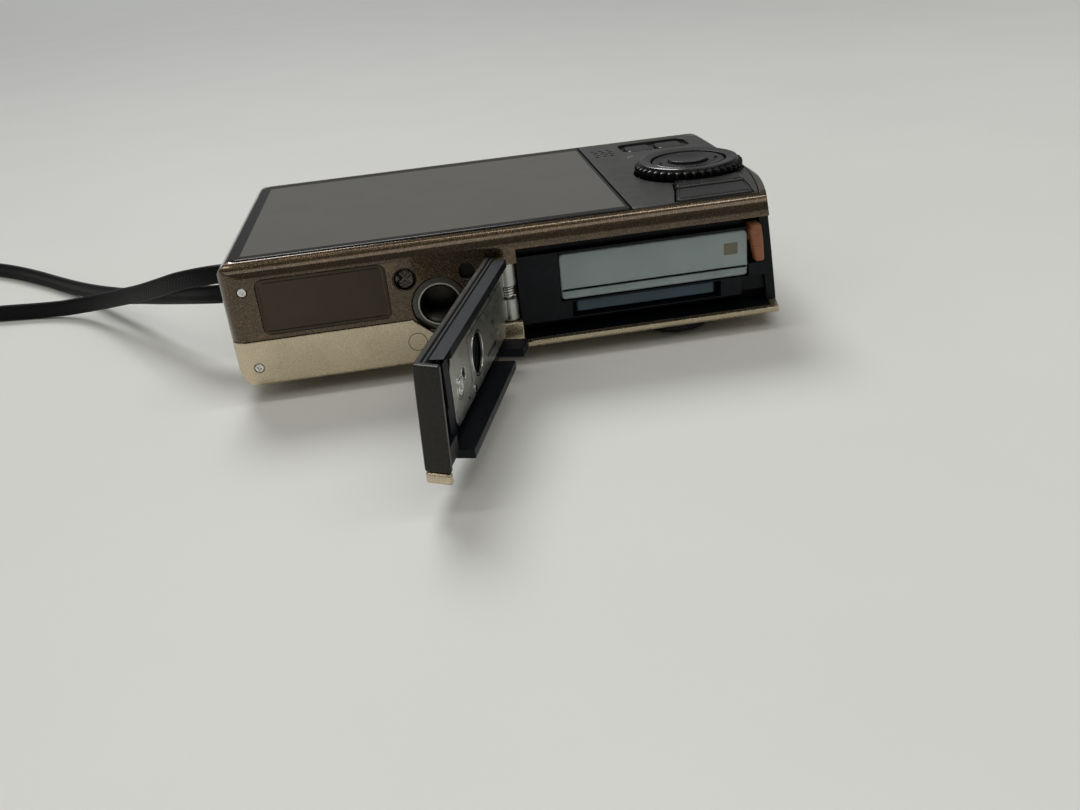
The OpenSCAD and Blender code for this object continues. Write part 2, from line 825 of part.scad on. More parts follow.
// Steel plate over the bracket's tongue
module door_plate() {
    color([0.75, 0.75, 0.74]) seat() door_place() difference() {
        along_y(plate_y[0], plate_y[1]) polygon([
            [1, 7.4], [1.8, 6.6], [33.4, 6.6], [34.2, 7.6], [34.2, 15.2], [33, 16.8], [1, 16.8]]);
        rod_y(door_hole, door_hole_r, 0, 10);
        rod_y([28.3, 12.1], 0.9, 0, 10);
        rod_y([6.5, 9.4], 0.6, 0, 10);
        rod_y(door_screw, door_thread_r, 0, 10);
        rod_y(door_rivet, 0.35, 0, 10);
    }
}

module door_screws() {
    color([0.85, 0.84, 0.82]) seat() door_place() {
        difference() {
            union() {
                rod_y(door_screw, 1.3, plate_y[1], plate_y[1] + 0.22);
                rod_y(door_screw, 0.55, 1.1, plate_y[1] + 0.1);
            }
            translate([door_screw[0], plate_y[1] + 0.2, door_screw[1]]) {
                cube([1.5, 0.2, 0.3], center = true);
                cube([0.3, 0.2, 1.5], center = true);
            }
        }
        rod_y(door_rivet, 0.7, plate_y[1], plate_y[1] + 0.2);
    }
}

// Two knuckles and a tongue that is held under the door's plate
module hinge_bracket() {
    color([0.78, 0.77, 0.74]) seat() door_place() difference() {
        union() {
            rod_z(pin_locked, knuckle_r, knuckle_z[0], knuckle_z[1]);
            rod_z(pin_locked, knuckle_r, knuckle_z[2], knuckle_z[3]);
            box([pin_locked[0], door_floor + fit, 8.3], [11, plate_y[0] - fit, 16.6]);
        }
        rod_z(pin_locked, pin_r + fit, 0, big);
        tube_z(pin_locked, knuckle_r + 0.3, pin_r + fit, knuckle_z[1], knuckle_z[2]);
    }
}

// ---- strap ----

function unit(v) = v / norm(v);

// Direction of the route at point i
function heading(p, i) = unit(p[min(i + 1, len(p) - 1)] - p[max(i - 1, 0)]);

// Eight points round the band at point i: a thin upright rectangle with cut corners
function band_ring(p, i) =
    let (side = unit(cross(heading(p, i), [0, 0, 1])),
         up = cross(side, heading(p, i)),
         w = strap_w / 2,
         t = strap_t / 2,
         c = 0.5)
    [for (q = [[-t, c - w], [c - t, -w], [t - c, -w], [t, c - w],
               [t, w - c], [t - c, w], [c - t, w], [-t, w - c]])
        p[i] + side * q[0] + up * q[1]];

module band(p) {
    sides = 8;
    last = len(p) - 1;
    polyhedron(
        points = [for (i = [0 : last], q = band_ring(p, i)) q],
        faces = concat(
            [[for (k = [0 : sides - 1]) k]],
            [for (i = [0 : last - 1], k = [0 : sides - 1])
                [i * sides + k, (i + 1) * sides + k,
                 (i + 1) * sides + (k + 1) % sides, i * sides + (k + 1) % sides]],
            [[for (k = [sides - 1 : -1 : 0]) last * sides + k]]),
        convexity = 10);
}

module wrist_strap() {
    color([0.04, 0.04, 0.045]) seat() band(strap_route);
}

front_cover();
rear_cover();
battery_bay();
finger_grip();
lens_ring();
lens_housing();
outer_barrel();
inner_barrel();
front_lens();
upper_blade();
lower_blade();
image_sensor();
zoom_motor();
flash_window();
flash_tube();
flash_capacitor();
focus_lamp();
screen_window();
screen_panel();
control_panel();
speaker();
main_board();
dial_mount();
control_dial();
direction_pad();
set_button();
menu_button();
display_button();
playback_button();
print_button();
indicator_lamp();
shutter_collar();
shutter_button();
zoom_lever();
power_button();
mode_switch();
terminal_block();
terminal_cover();
tripod_socket();
label_plate();
case_screws();
socket_screw();
strap_lug();
strap_end();
wrist_strap();
battery_case();
battery_tray();
battery_terminals();
battery_contacts();
battery_latch();
memory_card();
card_connector();
hinge_pin();
hinge_bracket();
hinge_spring();
door_outer();
door_trim();
door_frame();
door_plate();
door_screws();
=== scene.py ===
import json
from math import atan2, cos, pi, radians, sin, sqrt, tan

import bmesh
import bpy
from mathutils import Matrix, Vector
from mathutils.geometry import tessellate_polygon

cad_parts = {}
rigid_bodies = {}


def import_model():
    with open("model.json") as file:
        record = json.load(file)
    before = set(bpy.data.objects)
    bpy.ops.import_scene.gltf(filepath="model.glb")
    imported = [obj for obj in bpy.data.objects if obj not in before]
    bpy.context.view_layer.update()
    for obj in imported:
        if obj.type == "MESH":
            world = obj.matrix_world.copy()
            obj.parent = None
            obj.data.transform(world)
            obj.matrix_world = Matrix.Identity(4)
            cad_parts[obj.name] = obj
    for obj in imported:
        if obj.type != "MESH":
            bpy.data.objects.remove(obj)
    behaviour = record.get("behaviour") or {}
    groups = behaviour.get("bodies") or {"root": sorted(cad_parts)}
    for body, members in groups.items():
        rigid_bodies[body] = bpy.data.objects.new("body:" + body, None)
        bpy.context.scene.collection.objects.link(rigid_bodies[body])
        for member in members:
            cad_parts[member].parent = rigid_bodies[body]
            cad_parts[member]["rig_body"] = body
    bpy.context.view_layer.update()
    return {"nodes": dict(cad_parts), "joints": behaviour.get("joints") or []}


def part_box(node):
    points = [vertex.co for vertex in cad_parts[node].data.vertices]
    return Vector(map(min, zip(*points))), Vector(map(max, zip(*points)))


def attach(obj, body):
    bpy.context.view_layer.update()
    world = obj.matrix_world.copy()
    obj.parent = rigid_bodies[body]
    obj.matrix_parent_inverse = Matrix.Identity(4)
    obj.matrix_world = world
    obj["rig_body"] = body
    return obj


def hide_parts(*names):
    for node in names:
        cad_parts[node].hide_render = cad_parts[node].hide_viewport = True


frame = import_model()

# Lengths are in millimetres, in part.scad's drawing frame: Y = 0 is the bottom face.
MM = 0.001
MID_Y = -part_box("front_cover")[0].y / MM
BACK_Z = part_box("rear_cover")[1].z / MM
SCENE = bpy.context.scene


def in_metres(p):
    """The point in metres, in the model's frame."""
    return (p[0] * MM, (p[1] - MID_Y) * MM, p[2] * MM)


# ---- camera ----

def add_camera():
    data = bpy.data.cameras.new("camera")
    data.lens = 32.979
    data.sensor_width = 36
    data.clip_start = 0.005
    data.clip_end = 200
    camera = bpy.data.objects.new("camera", data)
    camera.location = (-0.0124, -0.1601, 0.066)
    turn = (Matrix.Rotation(radians(-5.22), 3, "Z") @ Matrix.Rotation(radians(64.23), 3, "X")
            @ Matrix.Rotation(radians(-6.14), 3, "Z"))
    camera.rotation_euler = turn.to_euler()
    SCENE.collection.objects.link(camera)
    SCENE.camera = camera


add_camera()


# ---- shapes: each is (points, faces), in millimetres ----

def rounded(corners, steps=5, closed=True):
    """Outline through corners (x, y, radius), with an arc at each one."""
    out = []
    last = len(corners) - 1
    for i, (x, y, r) in enumerate(corners):
        if r <= 0 or (not closed and i in (0, last)):
            out.append((x, y))
            continue
        before = Vector(corners[i - 1][:2])
        after = Vector(corners[(i + 1) % len(corners)][:2])
        here = Vector((x, y))
        a, b = before - here, after - here
        half = a.angle(b) / 2
        if half > 1.55:
            out.append((x, y))
            continue
        reach = min(r / tan(half), 0.49 * a.length, 0.49 * b.length)
        r = reach * tan(half)
        a.normalize()
        b.normalize()
        centre = here + (a + b).normalized() * (r / sin(half))
        start, end = here + a * reach - centre, here + b * reach - centre
        a0, a1 = atan2(start.y, start.x), atan2(end.y, end.x)
        swing = (a1 - a0 + pi) % (2 * pi) - pi
        for k in range(steps + 1):
            angle = a0 + swing * k / steps
            out.append((centre.x + r * cos(angle), centre.y + r * sin(angle)))
    return out


def soft_box(x0, y0, x1, y1, r, steps=6):
    return rounded([(x0, y0, r), (x1, y0, r), (x1, y1, r), (x0, y1, r)], steps)


def circle(x, y, r, steps=48):
    return [(x + r * cos(2 * pi * k / steps), y + r * sin(2 * pi * k / steps))
            for k in range(steps)]


def area(loop):
    return sum(loop[i - 1][0] * loop[i][1] - loop[i][0] * loop[i - 1][1]
               for i in range(len(loop))) / 2


def moved_in(loop, distance):
    """The loop with each side moved to its left by distance."""
    out = []
    count = len(loop)
    for i in range(count):
        p = Vector(loop[i])
        a, b = p - Vector(loop[i - 1]), Vector(loop[(i + 1) % count]) - p
        a.normalize()
        b.normalize()
        left = Vector((-a.y - b.y, a.x + b.x)).normalized()
        out.append(tuple(p + left * (distance / max(left.dot(Vector((-a.y, a.x))), 0.4))))
    return out


TURN = {"Z": lambda u, v, w: (u, v, w), "Y": lambda u, v, w: (u, w, v),
        "X": lambda u, v, w: (w, u, v)}


def slab(outline, low, high, ease=(0.1, 0.1), holes=(), axis="Z", steps=3):
    """Plate with rounded rims, through holes and flat faces; ease is (low rim, high rim)."""
    loops = [outline if area(outline) > 0 else outline[::-1]]
    loops += [h if area(h) < 0 else h[::-1] for h in holes]
    levels = []
    for k in range(steps + 1):
        a = pi / 2 * k / steps
        levels.append((low + ease[0] * (1 - cos(a)), ease[0] * (1 - sin(a))))
    for k in range(steps + 1):
        a = pi / 2 * k / steps
        levels.append((high - ease[1] * (1 - sin(a)), ease[1] * (1 - cos(a))))
    points, faces = [], []
    turn = TURN[axis]
    size = sum(len(loop) for loop in loops)
    for w, inset in levels:
        for loop in loops:
            points += [turn(u, v, w) for u, v in moved_in(loop, inset)]
    for level in range(len(levels) - 1):
        start = level * size
        for loop in loops:
            count = len(loop)
            for i in range(count):
                j = (i + 1) % count
                faces.append((start + i, start + j, start + size + j, start + size + i))
            start += count
    for level in (0, len(levels) - 1):
        inset = levels[level][1]
        flat = [[Vector((u, v, 0)) for u, v in moved_in(loop, inset)] for loop in loops]
        faces += [tuple(level * size + k for k in tri) for tri in tessellate_polygon(flat)]
    return points, faces


def sheet(outline, low, high, ease=(0.1, 0.1), holes=(), steps=3):
    """A slab whose flat faces look along Y; the outline is in (x, z)."""
    return slab(outline, low, high, ease, holes, "Y", steps)


def lathe(profile, at, axis="Z", segments=96, closed=False, shape=None):
    """Turns a profile of (radius, height) round an axis; shape(angle, k) adds to the radius."""
    turn = TURN[axis]
    points, faces = [], []
    count = len(profile)
    for s in range(segments):
        angle = 2 * pi * s / segments
        for k, (r, w) in enumerate(profile):
            extra = shape(angle, k) if shape else 0
            points.append(turn(at[0] + (r + extra) * cos(angle), at[1] + (r + extra) * sin(angle), w))
    for s in range(segments):
        t = (s + 1) % segments
        for k in range(count if closed else count - 1):
            m = (k + 1) % count
            faces.append((s * count + k, t * count + k, t * count + m, s * count + m))
    return points, faces


def eased(profile, r, steps=3, closed=False):
    return rounded([(a, b, r) for a, b in profile], steps, closed)


def turned(profile, r, at, axis="Z", segments=96, shape=None):
    """A closed profile of (radius, height), eased by r and turned."""
    return lathe(eased(profile, r, closed=True), at, axis, segments, True, shape)


def tube(r0, r1, w0, w1, at, axis="Z", ease=0.1):
    return turned([(r0, w0), (r1, w0), (r1, w1), (r0, w1)], ease, at, axis)


def button(r, low, high, at, axis="Z", ease=0.3, dish=0.0, segments=96):
    """Round button that is dished, or domed when dish is below zero."""
    crown = [(r * (1 - t) * 0.93, high - dish * (1 - (1 - t) ** 2)) for t in (0, .25, .5, .75, 1)]
    profile = eased([(0, low), (r, low), (r, high)] + crown[:1], ease, 4) + crown[1:]
    return lathe(profile, at, axis, segments)


def skin(rows, ring):
    """Faces of a tube whose points come in rows of ring points, with closed ends."""
    faces = []
    for i in range(rows - 1):
        for k in range(ring):
            m = (k + 1) % ring
            faces.append((i * ring + k, i * ring + m, (i + 1) * ring + m, (i + 1) * ring + k))
    return faces + [tuple(range(ring)), tuple((rows - 1) * ring + k for k in range(ring))]


def joined(*shapes):
    points, faces = [], []
    for p, f in shapes:
        start = len(points)
        points += p
        faces += [tuple(start + k for k in face) for face in f]
    return points, faces


def block(low, high, ease=0.1):
    return slab(soft_box(low[0], low[1], high[0], high[1], ease * 1.5, 3), low[2], high[2],
                (ease, ease))


def settled(mesh):
    """Smooth faces, with normals that follow the large faces, so that flats look flat."""
    totals = [Vector((0, 0, 0)) for _ in mesh.vertices]
    for face in mesh.polygons:
        face.use_smooth = True
        for k in face.vertices:
            totals[k] += face.normal * face.area
    normals = [v.normalized() if v.length > 1e-16 else Vector((0, 0, 1)) for v in totals]
    mesh.normals_split_custom_set_from_vertices(normals)


def finished(name, mesh, material, node, replaced=True):
    """The object for a mesh, which rides with node's body and may stand for node."""
    ob = bpy.data.objects.new(name, mesh)
    SCENE.collection.objects.link(ob)
    mesh.materials.clear()
    mesh.materials.append(material)
    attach(ob, frame["nodes"][node]["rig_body"])
    if replaced:
        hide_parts(node)
    return ob


def welded(bm, near, thin):
    """Joins points nearer than near, and removes edges shorter than thin."""
    bmesh.ops.remove_doubles(bm, verts=bm.verts, dist=near)
    bmesh.ops.dissolve_degenerate(bm, edges=bm.edges, dist=thin)


def piece(name, shape, material, node, place=None, replaced=True):
    """A piece from points in millimetres, which rides with node's body; place moves each point."""
    points, faces = shape
    if place:
        points = [place(p) for p in points]
    mesh = bpy.data.meshes.new(name)
    mesh.from_pydata([in_metres(p) for p in points], [], faces)
    bm = bmesh.new()
    bm.from_mesh(mesh)
    welded(bm, 4e-7, 4e-7)
    bmesh.ops.recalc_face_normals(bm, faces=bm.faces)
    bm.to_mesh(mesh)
    bm.free()
    settled(mesh)
    return finished(name, mesh, material, node, replaced)


def plane_at(axis, value, place):
    """Point and normal of the plane, in metres."""
    at = [0, 0, 0]
    at["XYZ".index(axis)] = value
    further = list(at)
    further["XYZ".index(axis)] += 1
    if place:
        at, further = place(at), place(further)
    return (Vector((at[0], at[1] - MID_Y, at[2])) * MM, Vector(further) - Vector(at))


def joined_flats(bm, planes):
    """Joins flat neighbours into single faces, except across the planes or where a flat has a hole.
    Edges and points are kept in the order they are found, so that each run gives the same mesh."""
    level = radians(0.6)
    for point, normal in planes:
        bmesh.ops.bisect_plane(bm, geom=bm.verts[:] + bm.edges[:] + bm.faces[:], dist=2e-6,
                               plane_co=point, plane_no=normal)
    welded(bm, 1e-6, 2e-6)

    def parted(edge):
        return any(all(abs((v.co - point).dot(normal)) < 3e-6 for v in edge.verts)
                   for point, normal in planes)

    flat = {e for e in bm.edges if e.is_manifold and e.calc_face_angle(9) < level and not parted(e)}
    seen, loose = set(), []
    for start in bm.faces:
        if start in seen:
            continue
        seen.add(start)
        region, queue, inner = [start], [start], {}
        while queue:
            for edge in queue.pop().edges:
                if edge in flat:
                    inner[edge] = True
                    for face in edge.link_faces:
                        if face not in seen:
                            seen.add(face)
                            region.append(face)
                            queue.append(face)
        corners = {v for f in region for v in f.verts}
        sides = {e for f in region for e in f.edges}
        if len(corners) - len(sides) + len(region) == 1:
            loose += inner
    verts = list(dict.fromkeys(v for e in loose for v in e.verts))
    bmesh.ops.dissolve_limit(bm, angle_limit=level, verts=verts, edges=loose, delimit=set())


def softened(node, material, width, cuts=None, place=None):
    """The CAD node's own shape with its sharp edges rounded off to width. The cuts give planes across
    each axis that part its flats at their holes."""
    mesh = frame["nodes"][node].data.copy()
    for layer in [a for a in mesh.attributes if a.name in ("custom_normal", "sharp_edge", "sharp_face")]:
        mesh.attributes.remove(layer)
    bm = bmesh.new()
    bm.from_mesh(mesh)
    welded(bm, 1e-6, 2e-6)
    joined_flats(bm, [plane_at(axis, at, place) for axis in cuts or {} for at in cuts[axis]])
    sharp = [e for e in bm.edges if e.is_manifold and e.calc_face_angle(0) > radians(35)]
    bmesh.ops.bevel(bm, geom=sharp, offset=width * MM, offset_type="OFFSET", segments=2, profile=0.5,
                    affect="EDGES", clamp_overlap=False)
    welded(bm, 3e-6, 3e-6)
    bmesh.ops.recalc_face_normals(bm, faces=bm.faces)
    bm.to_mesh(mesh)
    bm.free()
    settled(mesh)
    return finished("fine_" + node, mesh, material, node)


# ---- materials ----

class Shader:
    """One Principled surface, built up from procedural layers in the object's own space."""

    def __init__(self, name, colour, roughness, metallic=0.0, **sockets):
        self.material = bpy.data.materials.new(name)
        self.material.use_nodes = True
        self.tree = self.material.node_tree
        self.surface = self.tree.nodes["Principled BSDF"]
        self.colour = colour
        self.surface.inputs["Base Color"].default_value = (*colour, 1)
        self.surface.inputs["Roughness"].default_value = roughness
        self.surface.inputs["Metallic"].default_value = metallic
        for key, value in sockets.items():
            self.surface.inputs[key.replace("_", " ")].default_value = value
        self.space = self.add("ShaderNodeTexCoord").outputs["Object"]
        self.normal = None

    def add(self, kind, inputs=None, **settings):
        node = self.tree.nodes.new(kind)
        for key, value in settings.items():
            setattr(node, key, value)
        for key, value in (inputs or {}).items():
            if isinstance(value, bpy.types.NodeSocket):
                self.tree.links.new(value, node.inputs[key])
            else:
                node.inputs[key].default_value = value
        return node

    def stretched(self, scale):
        return self.add("ShaderNodeMapping", {"Vector": self.space, "Scale": scale}).outputs[0]

    def noise(self, size, detail=3, space=None):
        """Noise with cells of about size millimetres."""
        return self.add("ShaderNodeTexNoise", {
            "Vector": space or self.space, "Scale": 1000 / size, "Detail": detail}).outputs["Fac"]

    def cells(self, size):
        """A random colour for each cell of about size millimetres."""
        return self.add("ShaderNodeTexVoronoi", {
            "Vector": self.space, "Scale": 1000 / size}).outputs["Color"]

    def spread(self, value, low, high, from_low=0.3, from_high=0.7):
        return self.add("ShaderNodeMapRange", {
            0: value, 1: from_low, 2: from_high, 3: low, 4: high}).outputs[0]

    def maths(self, operation, a, b=0.5):
        return self.add("ShaderNodeMath", {0: a, 1: b}, operation=operation).outputs[0]

    def mixed(self, factor, a, b):
        """Colour a to b; each is a socket or (red, green, blue)."""
        a, b = (v if isinstance(v, bpy.types.NodeSocket) else (*v, 1) for v in (a, b))
        return self.add("ShaderNodeMix", {0: factor, 6: a, 7: b}, data_type="RGBA").outputs[2]

    def shade(self, factor, low, high):
        """The base colour times low to high, as factor goes from 0 to 1."""
        dark = tuple(c * low for c in self.colour)
        light = tuple(min(c * high, 1) for c in self.colour)
        return self.mixed(factor, dark, light)

    def paint(self, colour):
        self.tree.links.new(colour, self.surface.inputs["Base Color"])

    def gloss(self, value):
        self.tree.links.new(value, self.surface.inputs["Roughness"])

    def bump(self, height, depth, strength=1.0):
        """Raises the surface by height, with full height depth millimetres."""
        inputs = {"Height": height, "Distance": depth * MM, "Strength": strength}
        if self.normal:
            inputs["Normal"] = self.normal
        self.normal = self.add("ShaderNodeBump", inputs).outputs[0]
        self.tree.links.new(self.normal, self.surface.inputs["Normal"])

    def worn(self, colour, lighter, amount=0.5):
        """Lighter colour where the surface is sharply convex."""
        edge = self.spread(self.add("ShaderNodeNewGeometry").outputs["Pointiness"], 0, 1, 0.53, 0.62)
        patch = self.spread(self.noise(1.2), 0.2, 1)
        return self.mixed(self.maths("MULTIPLY", self.maths("MULTIPLY", edge, patch), amount),
                          colour, lighter)


def moulded(name, colour, roughness, grain=0.25, depth=0.006, **sockets):
    """Moulded plastic: fine pebbled grain, slight clouding, finger-marked gloss."""
    s = Shader(name, colour, roughness, **sockets)
    cloud = s.spread(s.noise(6, 4), 0, 1)
    s.paint(s.worn(s.shade(cloud, 0.86, 1.14), tuple(min(c * 1.9 + 0.01, 1) for c in colour), 0.35))
    s.gloss(s.spread(s.noise(2.5, 5), roughness * 0.86, roughness * 1.16))
    s.bump(s.noise(grain, 2), depth)
    s.bump(s.noise(9, 2), 0.01, 0.4)
    return s.material


def flaked(name, colour, glint, roughness, flake, **sockets):
    """Metallic paint: tiny bright flakes under a thin clear coat."""
    s = Shader(name, colour, roughness, 0.9, **sockets)
    random = s.add("ShaderNodeSeparateColor", {0: s.cells(flake)})
    spark = s.spread(random.outputs[0], 0, 1, 0.45, 1.0)
    spark = s.maths("POWER", spark, 2.2)
    cloud = s.shade(s.spread(s.noise(7, 4), 0, 1), 0.88, 1.12)
    s.paint(s.worn(s.mixed(spark, cloud, glint), glint, 0.6))
    s.gloss(s.spread(random.outputs[1], roughness * 0.75, roughness * 1.25, 0, 1))
    s.bump(random.outputs[2], 0.0015, 0.2)
    return s.material


def brushed(name, colour, roughness, along=(1, 30, 30), **sockets):
    """Worked metal with fine parallel scratches."""
    s = Shader(name, colour, roughness, 1.0, **sockets)
    lines = s.noise(1.6, 4, s.stretched(along))
    s.paint(s.worn(s.shade(s.spread(lines, 0, 1), 0.86, 1.1), tuple(min(c * 1.3, 1) for c in colour)))
    s.gloss(s.spread(s.noise(1.2, 4), roughness * 0.75, roughness * 1.35))
    s.bump(lines, 0.004, 0.5)
    s.bump(s.noise(4, 3), 0.01, 0.3)
    return s.material


def screen_glass():
    """Smoked window: printed dark border, with the display's faint pixel grid inside it. The grey inside the
    border, lighter in cloudy patches, is painted reflection of the room.
    """
    s = Shader("screen_glass", (0.05, 0.05, 0.047), 0.09, Specular_IOR_Level=0.32)
    place = s.add("ShaderNodeSeparateXYZ", {0: s.space})
    inside = None
    for axis, low, high in (("X", -43.0, 19.2), ("Y", 3.8 - MID_Y, 51.2 - MID_Y)):
        middle, half = (low + high) / 2 * MM, (high - low) / 2 * MM
        away = s.maths("ABSOLUTE", s.maths("SUBTRACT", place.outputs[axis], middle))
        near = s.spread(away, 1, 0, half - 0.00005, half + 0.00005)
        inside = near if inside is None else s.maths("MULTIPLY", inside, near)
    grid = s.add("ShaderNodeTexChecker", {"Vector": s.space, "Scale": 8000}).outputs["Fac"]
    # painted reflection: the display's grey under its pixel grid stands in for the room mirrored in the
    # screen
    display = s.mixed(s.spread(grid, 0, 1, 0, 1), (0.124, 0.122, 0.113), (0.134, 0.132, 0.123))
    # painted reflection: lighter cloudy patches in the mirrored grey
    reflection_patches = s.spread(s.noise(14, 5), 0, 1)
    s.paint(s.mixed(inside, (0.004, 0.004, 0.0035), s.mixed(reflection_patches, display, (0.143, 0.139, 0.128))))
    s.gloss(s.spread(s.noise(5, 6), 0.07, 0.14))
    return s.material


def webbing():
    """Black braided strap: small herringbone ribs along and across the band."""
    s = Shader("webbing", (0.0012, 0.0016, 0.002), 0.6, Sheen_Weight=0.02, Sheen_Roughness=0.4,
               Specular_IOR_Level=0.15)
    uv = s.add("ShaderNodeTexCoord").outputs["UV"]
    strands = []
    for turn in (35, -35):
        lie = s.add("ShaderNodeMapping", {"Vector": uv, "Rotation": (0, 0, radians(turn))})
        strands.append(s.add("ShaderNodeTexWave", {
            "Vector": lie.outputs[0], "Scale": 0.55, "Distortion": 0.4, "Detail": 1.0}).outputs["Fac"])
    weave = s.maths("MAXIMUM", strands[0], strands[1])
    s.paint(s.shade(weave, 0.5, 1.7))
    s.gloss(s.spread(weave, 0.62, 0.42, 0, 1))
    s.bump(weave, 0.06, 0.7)
    s.bump(s.noise(0.08, 2), 0.01, 0.5)
    return s.material


def circuit_board():
    s = Shader("circuit_board", (0.012, 0.10, 0.045), 0.35, Coat_Weight=0.4)
    tracks = s.add("ShaderNodeTexBrick", {
        "Vector": s.space, "Scale": 900, "Mortar Size": 0.06, "Color1": (0, 0, 0, 1),
        "Color2": (0.2, 0.2, 0.2, 1), "Mortar": (1, 1, 1, 1)}).outputs["Color"]
    s.paint(s.mixed(s.spread(tracks, 0, 1, 0.4, 0.8), s.shade(s.noise(3), 0.8, 1.2), (0.03, 0.2, 0.09)))
    s.bump(tracks, 0.03, 0.5)
    return s.material


def lens_glass(name, tint, roughness=0.04):
    s = Shader(name, tint, roughness, Coat_Weight=1.0, Coat_Roughness=0.02, IOR=1.6)
    facing = s.add("ShaderNodeLayerWeight", {"Blend": 0.4}).outputs["Facing"]
    s.paint(s.mixed(facing, tint, (0.05, 0.03, 0.10)))
    s.gloss(s.spread(s.noise(3, 5), roughness * 0.8, roughness * 1.6))
    return s.material


def label_film(name, colour, roughness, **sockets):
    """Printed film: smooth, with faint fibre and scuffs."""
    s = Shader(name, colour, roughness, **sockets)
    scuffs = s.noise(0.8, 5, s.stretched((1, 12, 12)))
    s.paint(s.mixed(s.spread(scuffs, 0, 1, 0.55, 0.8), s.shade(s.spread(s.noise(8, 4), 0, 1), 0.93, 1.07),
                    tuple(min(c * 1.25 + 0.01, 1) for c in colour)))
    s.gloss(s.spread(scuffs, roughness * 0.85, roughness * 1.25))
    s.bump(s.noise(0.15, 2), 0.003)
    return s.material


BRONZE = flaked("bronze", (0.052, 0.034, 0.017), (0.195, 0.124, 0.056), 0.25, 0.12,
                Coat_Weight=0.9, Coat_Roughness=0.06)
CHAMPAGNE = flaked("champagne", (0.63, 0.535, 0.375), (0.71, 0.61, 0.445), 0.28, 0.12,
                   Coat_Weight=0.15, Coat_Roughness=0.2)
DOOR_SKIN = flaked("door_skin", (0.020, 0.019, 0.016), (0.036, 0.033, 0.028), 0.36, 0.11,
                   Coat_Weight=0.3, Coat_Roughness=0.2)
SOCKET = brushed("socket_metal", (0.105, 0.10, 0.088), 0.3)
# darker metal for the inside of the tripod socket's bore: painted shade in the hole
SHADED_BORE_METAL = brushed("bore_metal_painted_shade", (0.06, 0.057, 0.05), 0.35)
TAN = label_film("tan_print", (0.19, 0.17, 0.12), 0.5)
BARREL = brushed("barrel", (0.56, 0.52, 0.44), 0.3, (20, 20, 1))
STEEL = brushed("steel", (0.52, 0.53, 0.49), 0.34)
CHROME = brushed("chrome", (0.80, 0.79, 0.76), 0.16)
DARK_STEEL = brushed("dark_steel", (0.10, 0.09, 0.08), 0.34)
GOLD = brushed("gold", (0.75, 0.52, 0.20), 0.25)
BAY = moulded("bay", (0.0022, 0.0042, 0.007), 0.42, Specular_IOR_Level=0.2)
PANEL = moulded("panel", (0.028, 0.029, 0.027), 0.34, 0.12, 0.002)
CONTROLS = moulded("controls", (0.009, 0.010, 0.009), 0.24, 0.3, 0.002)
DIAL = moulded("dial", (0.003, 0.0035, 0.0035), 0.3, 0.3, 0.003, Specular_IOR_Level=0.3)
DIAL_FACE = moulded("dial_face", (0.016, 0.018, 0.018), 0.2, 0.3, 0.002, Coat_Weight=0.3)
RUBBER = moulded("rubber", (0.012, 0.012, 0.013), 0.7, 0.2, 0.02)
BLACK = moulded("black", (0.010, 0.010, 0.011), 0.5)
LABEL = label_film("label", (0.066, 0.052, 0.037), 0.4, Metallic=0.75)
BATTERY = label_film("battery", (0.34, 0.41, 0.41), 0.42)
BATTERY_TRAY = moulded("battery_tray_plastic", (0.305, 0.375, 0.375), 0.4)
CARD = moulded("card", (0.045, 0.085, 0.115), 0.4)
CARD_LABEL = label_film("card_label", (0.07, 0.13, 0.17), 0.45)
LATCH = moulded("latch", (0.335, 0.115, 0.049), 0.42, 0.3, 0.006, Subsurface_Weight=0.05)
GLASS = screen_glass()
DISPLAY = moulded("display_plastic", (0.05, 0.05, 0.05), 0.3)
LAMP = lens_glass("lamp", (0.20, 0.26, 0.20))
AMBER = lens_glass("amber", (0.45, 0.18, 0.06))
FLASH = lens_glass("flash", (0.55, 0.55, 0.52), 0.12)
OPTIC = lens_glass("optic", (0.02, 0.025, 0.06))
BOARD = circuit_board()
WEBBING = webbing()

# ---- wrist strap, the cord: part.scad's route ----

STRAP_W = 3.4
STRAP_T = 1.6
ROUTE = [
    (-46.9, 22.3, 16), (-51, 22.8, 15.9), (-55, 24.6, 15.3), (-59.5, 28.1, 14), (-64, 32.6, 12.1),
    (-69.5, 39, 9.6), (-75, 45.8, 7.3), (-81, 52.4, 5), (-87, 57.6, 3.2), (-93, 60.8, 2.1),
    (-99, 62.6, 1.8), (-106, 64, 1.8), (-114, 65.2, 1.8), (-123, 66.6, 1.8), (-132, 68.6, 1.8),
    (-141, 71.6, 1.8), (-149, 76.2, 1.8), (-155, 82.6, 1.8), (-158, 90.6, 1.8), (-157, 99, 1.8),
    (-152, 106, 1.8), (-144.6, 110, 1.8), (-136, 110.4, 1.8), (-128, 107.4, 1.8),
    (-120, 101.6, 1.8), (-113, 95.6, 1.8), (-106, 88.6, 1.8), (-99.6, 81.6, 1.8),
    (-92.8, 73.6, 2.2), (-85.8, 64.8, 3.2), (-77.6, 54.6, 4.8), (-72.8, 48.5, 6.2),
    (-66.6, 40, 8.2), (-60.8, 32.5, 10), (-55.8, 26.6, 11.4), (-51.4, 23.2, 12.1),
    (-46.9, 22.3, 12.4)]


def smooth_route(points, steps):
    """Catmull-Rom curve through the points."""
    p = [Vector(q) for q in points]
    p = [2 * p[0] - p[1]] + p + [2 * p[-1] - p[-2]]
    out = []
    for i in range(1, len(p) - 2):
        for k in range(steps):
            t = k / steps
            out.append(0.5 * (2 * p[i] + (p[i + 1] - p[i - 1]) * t
                              + (2 * p[i - 1] - 5 * p[i] + 4 * p[i + 1] - p[i + 2]) * t ** 2
                              + (3 * p[i] - p[i - 1] - 3 * p[i + 1] + p[i + 2]) * t ** 3))
    return out + [p[-2]]


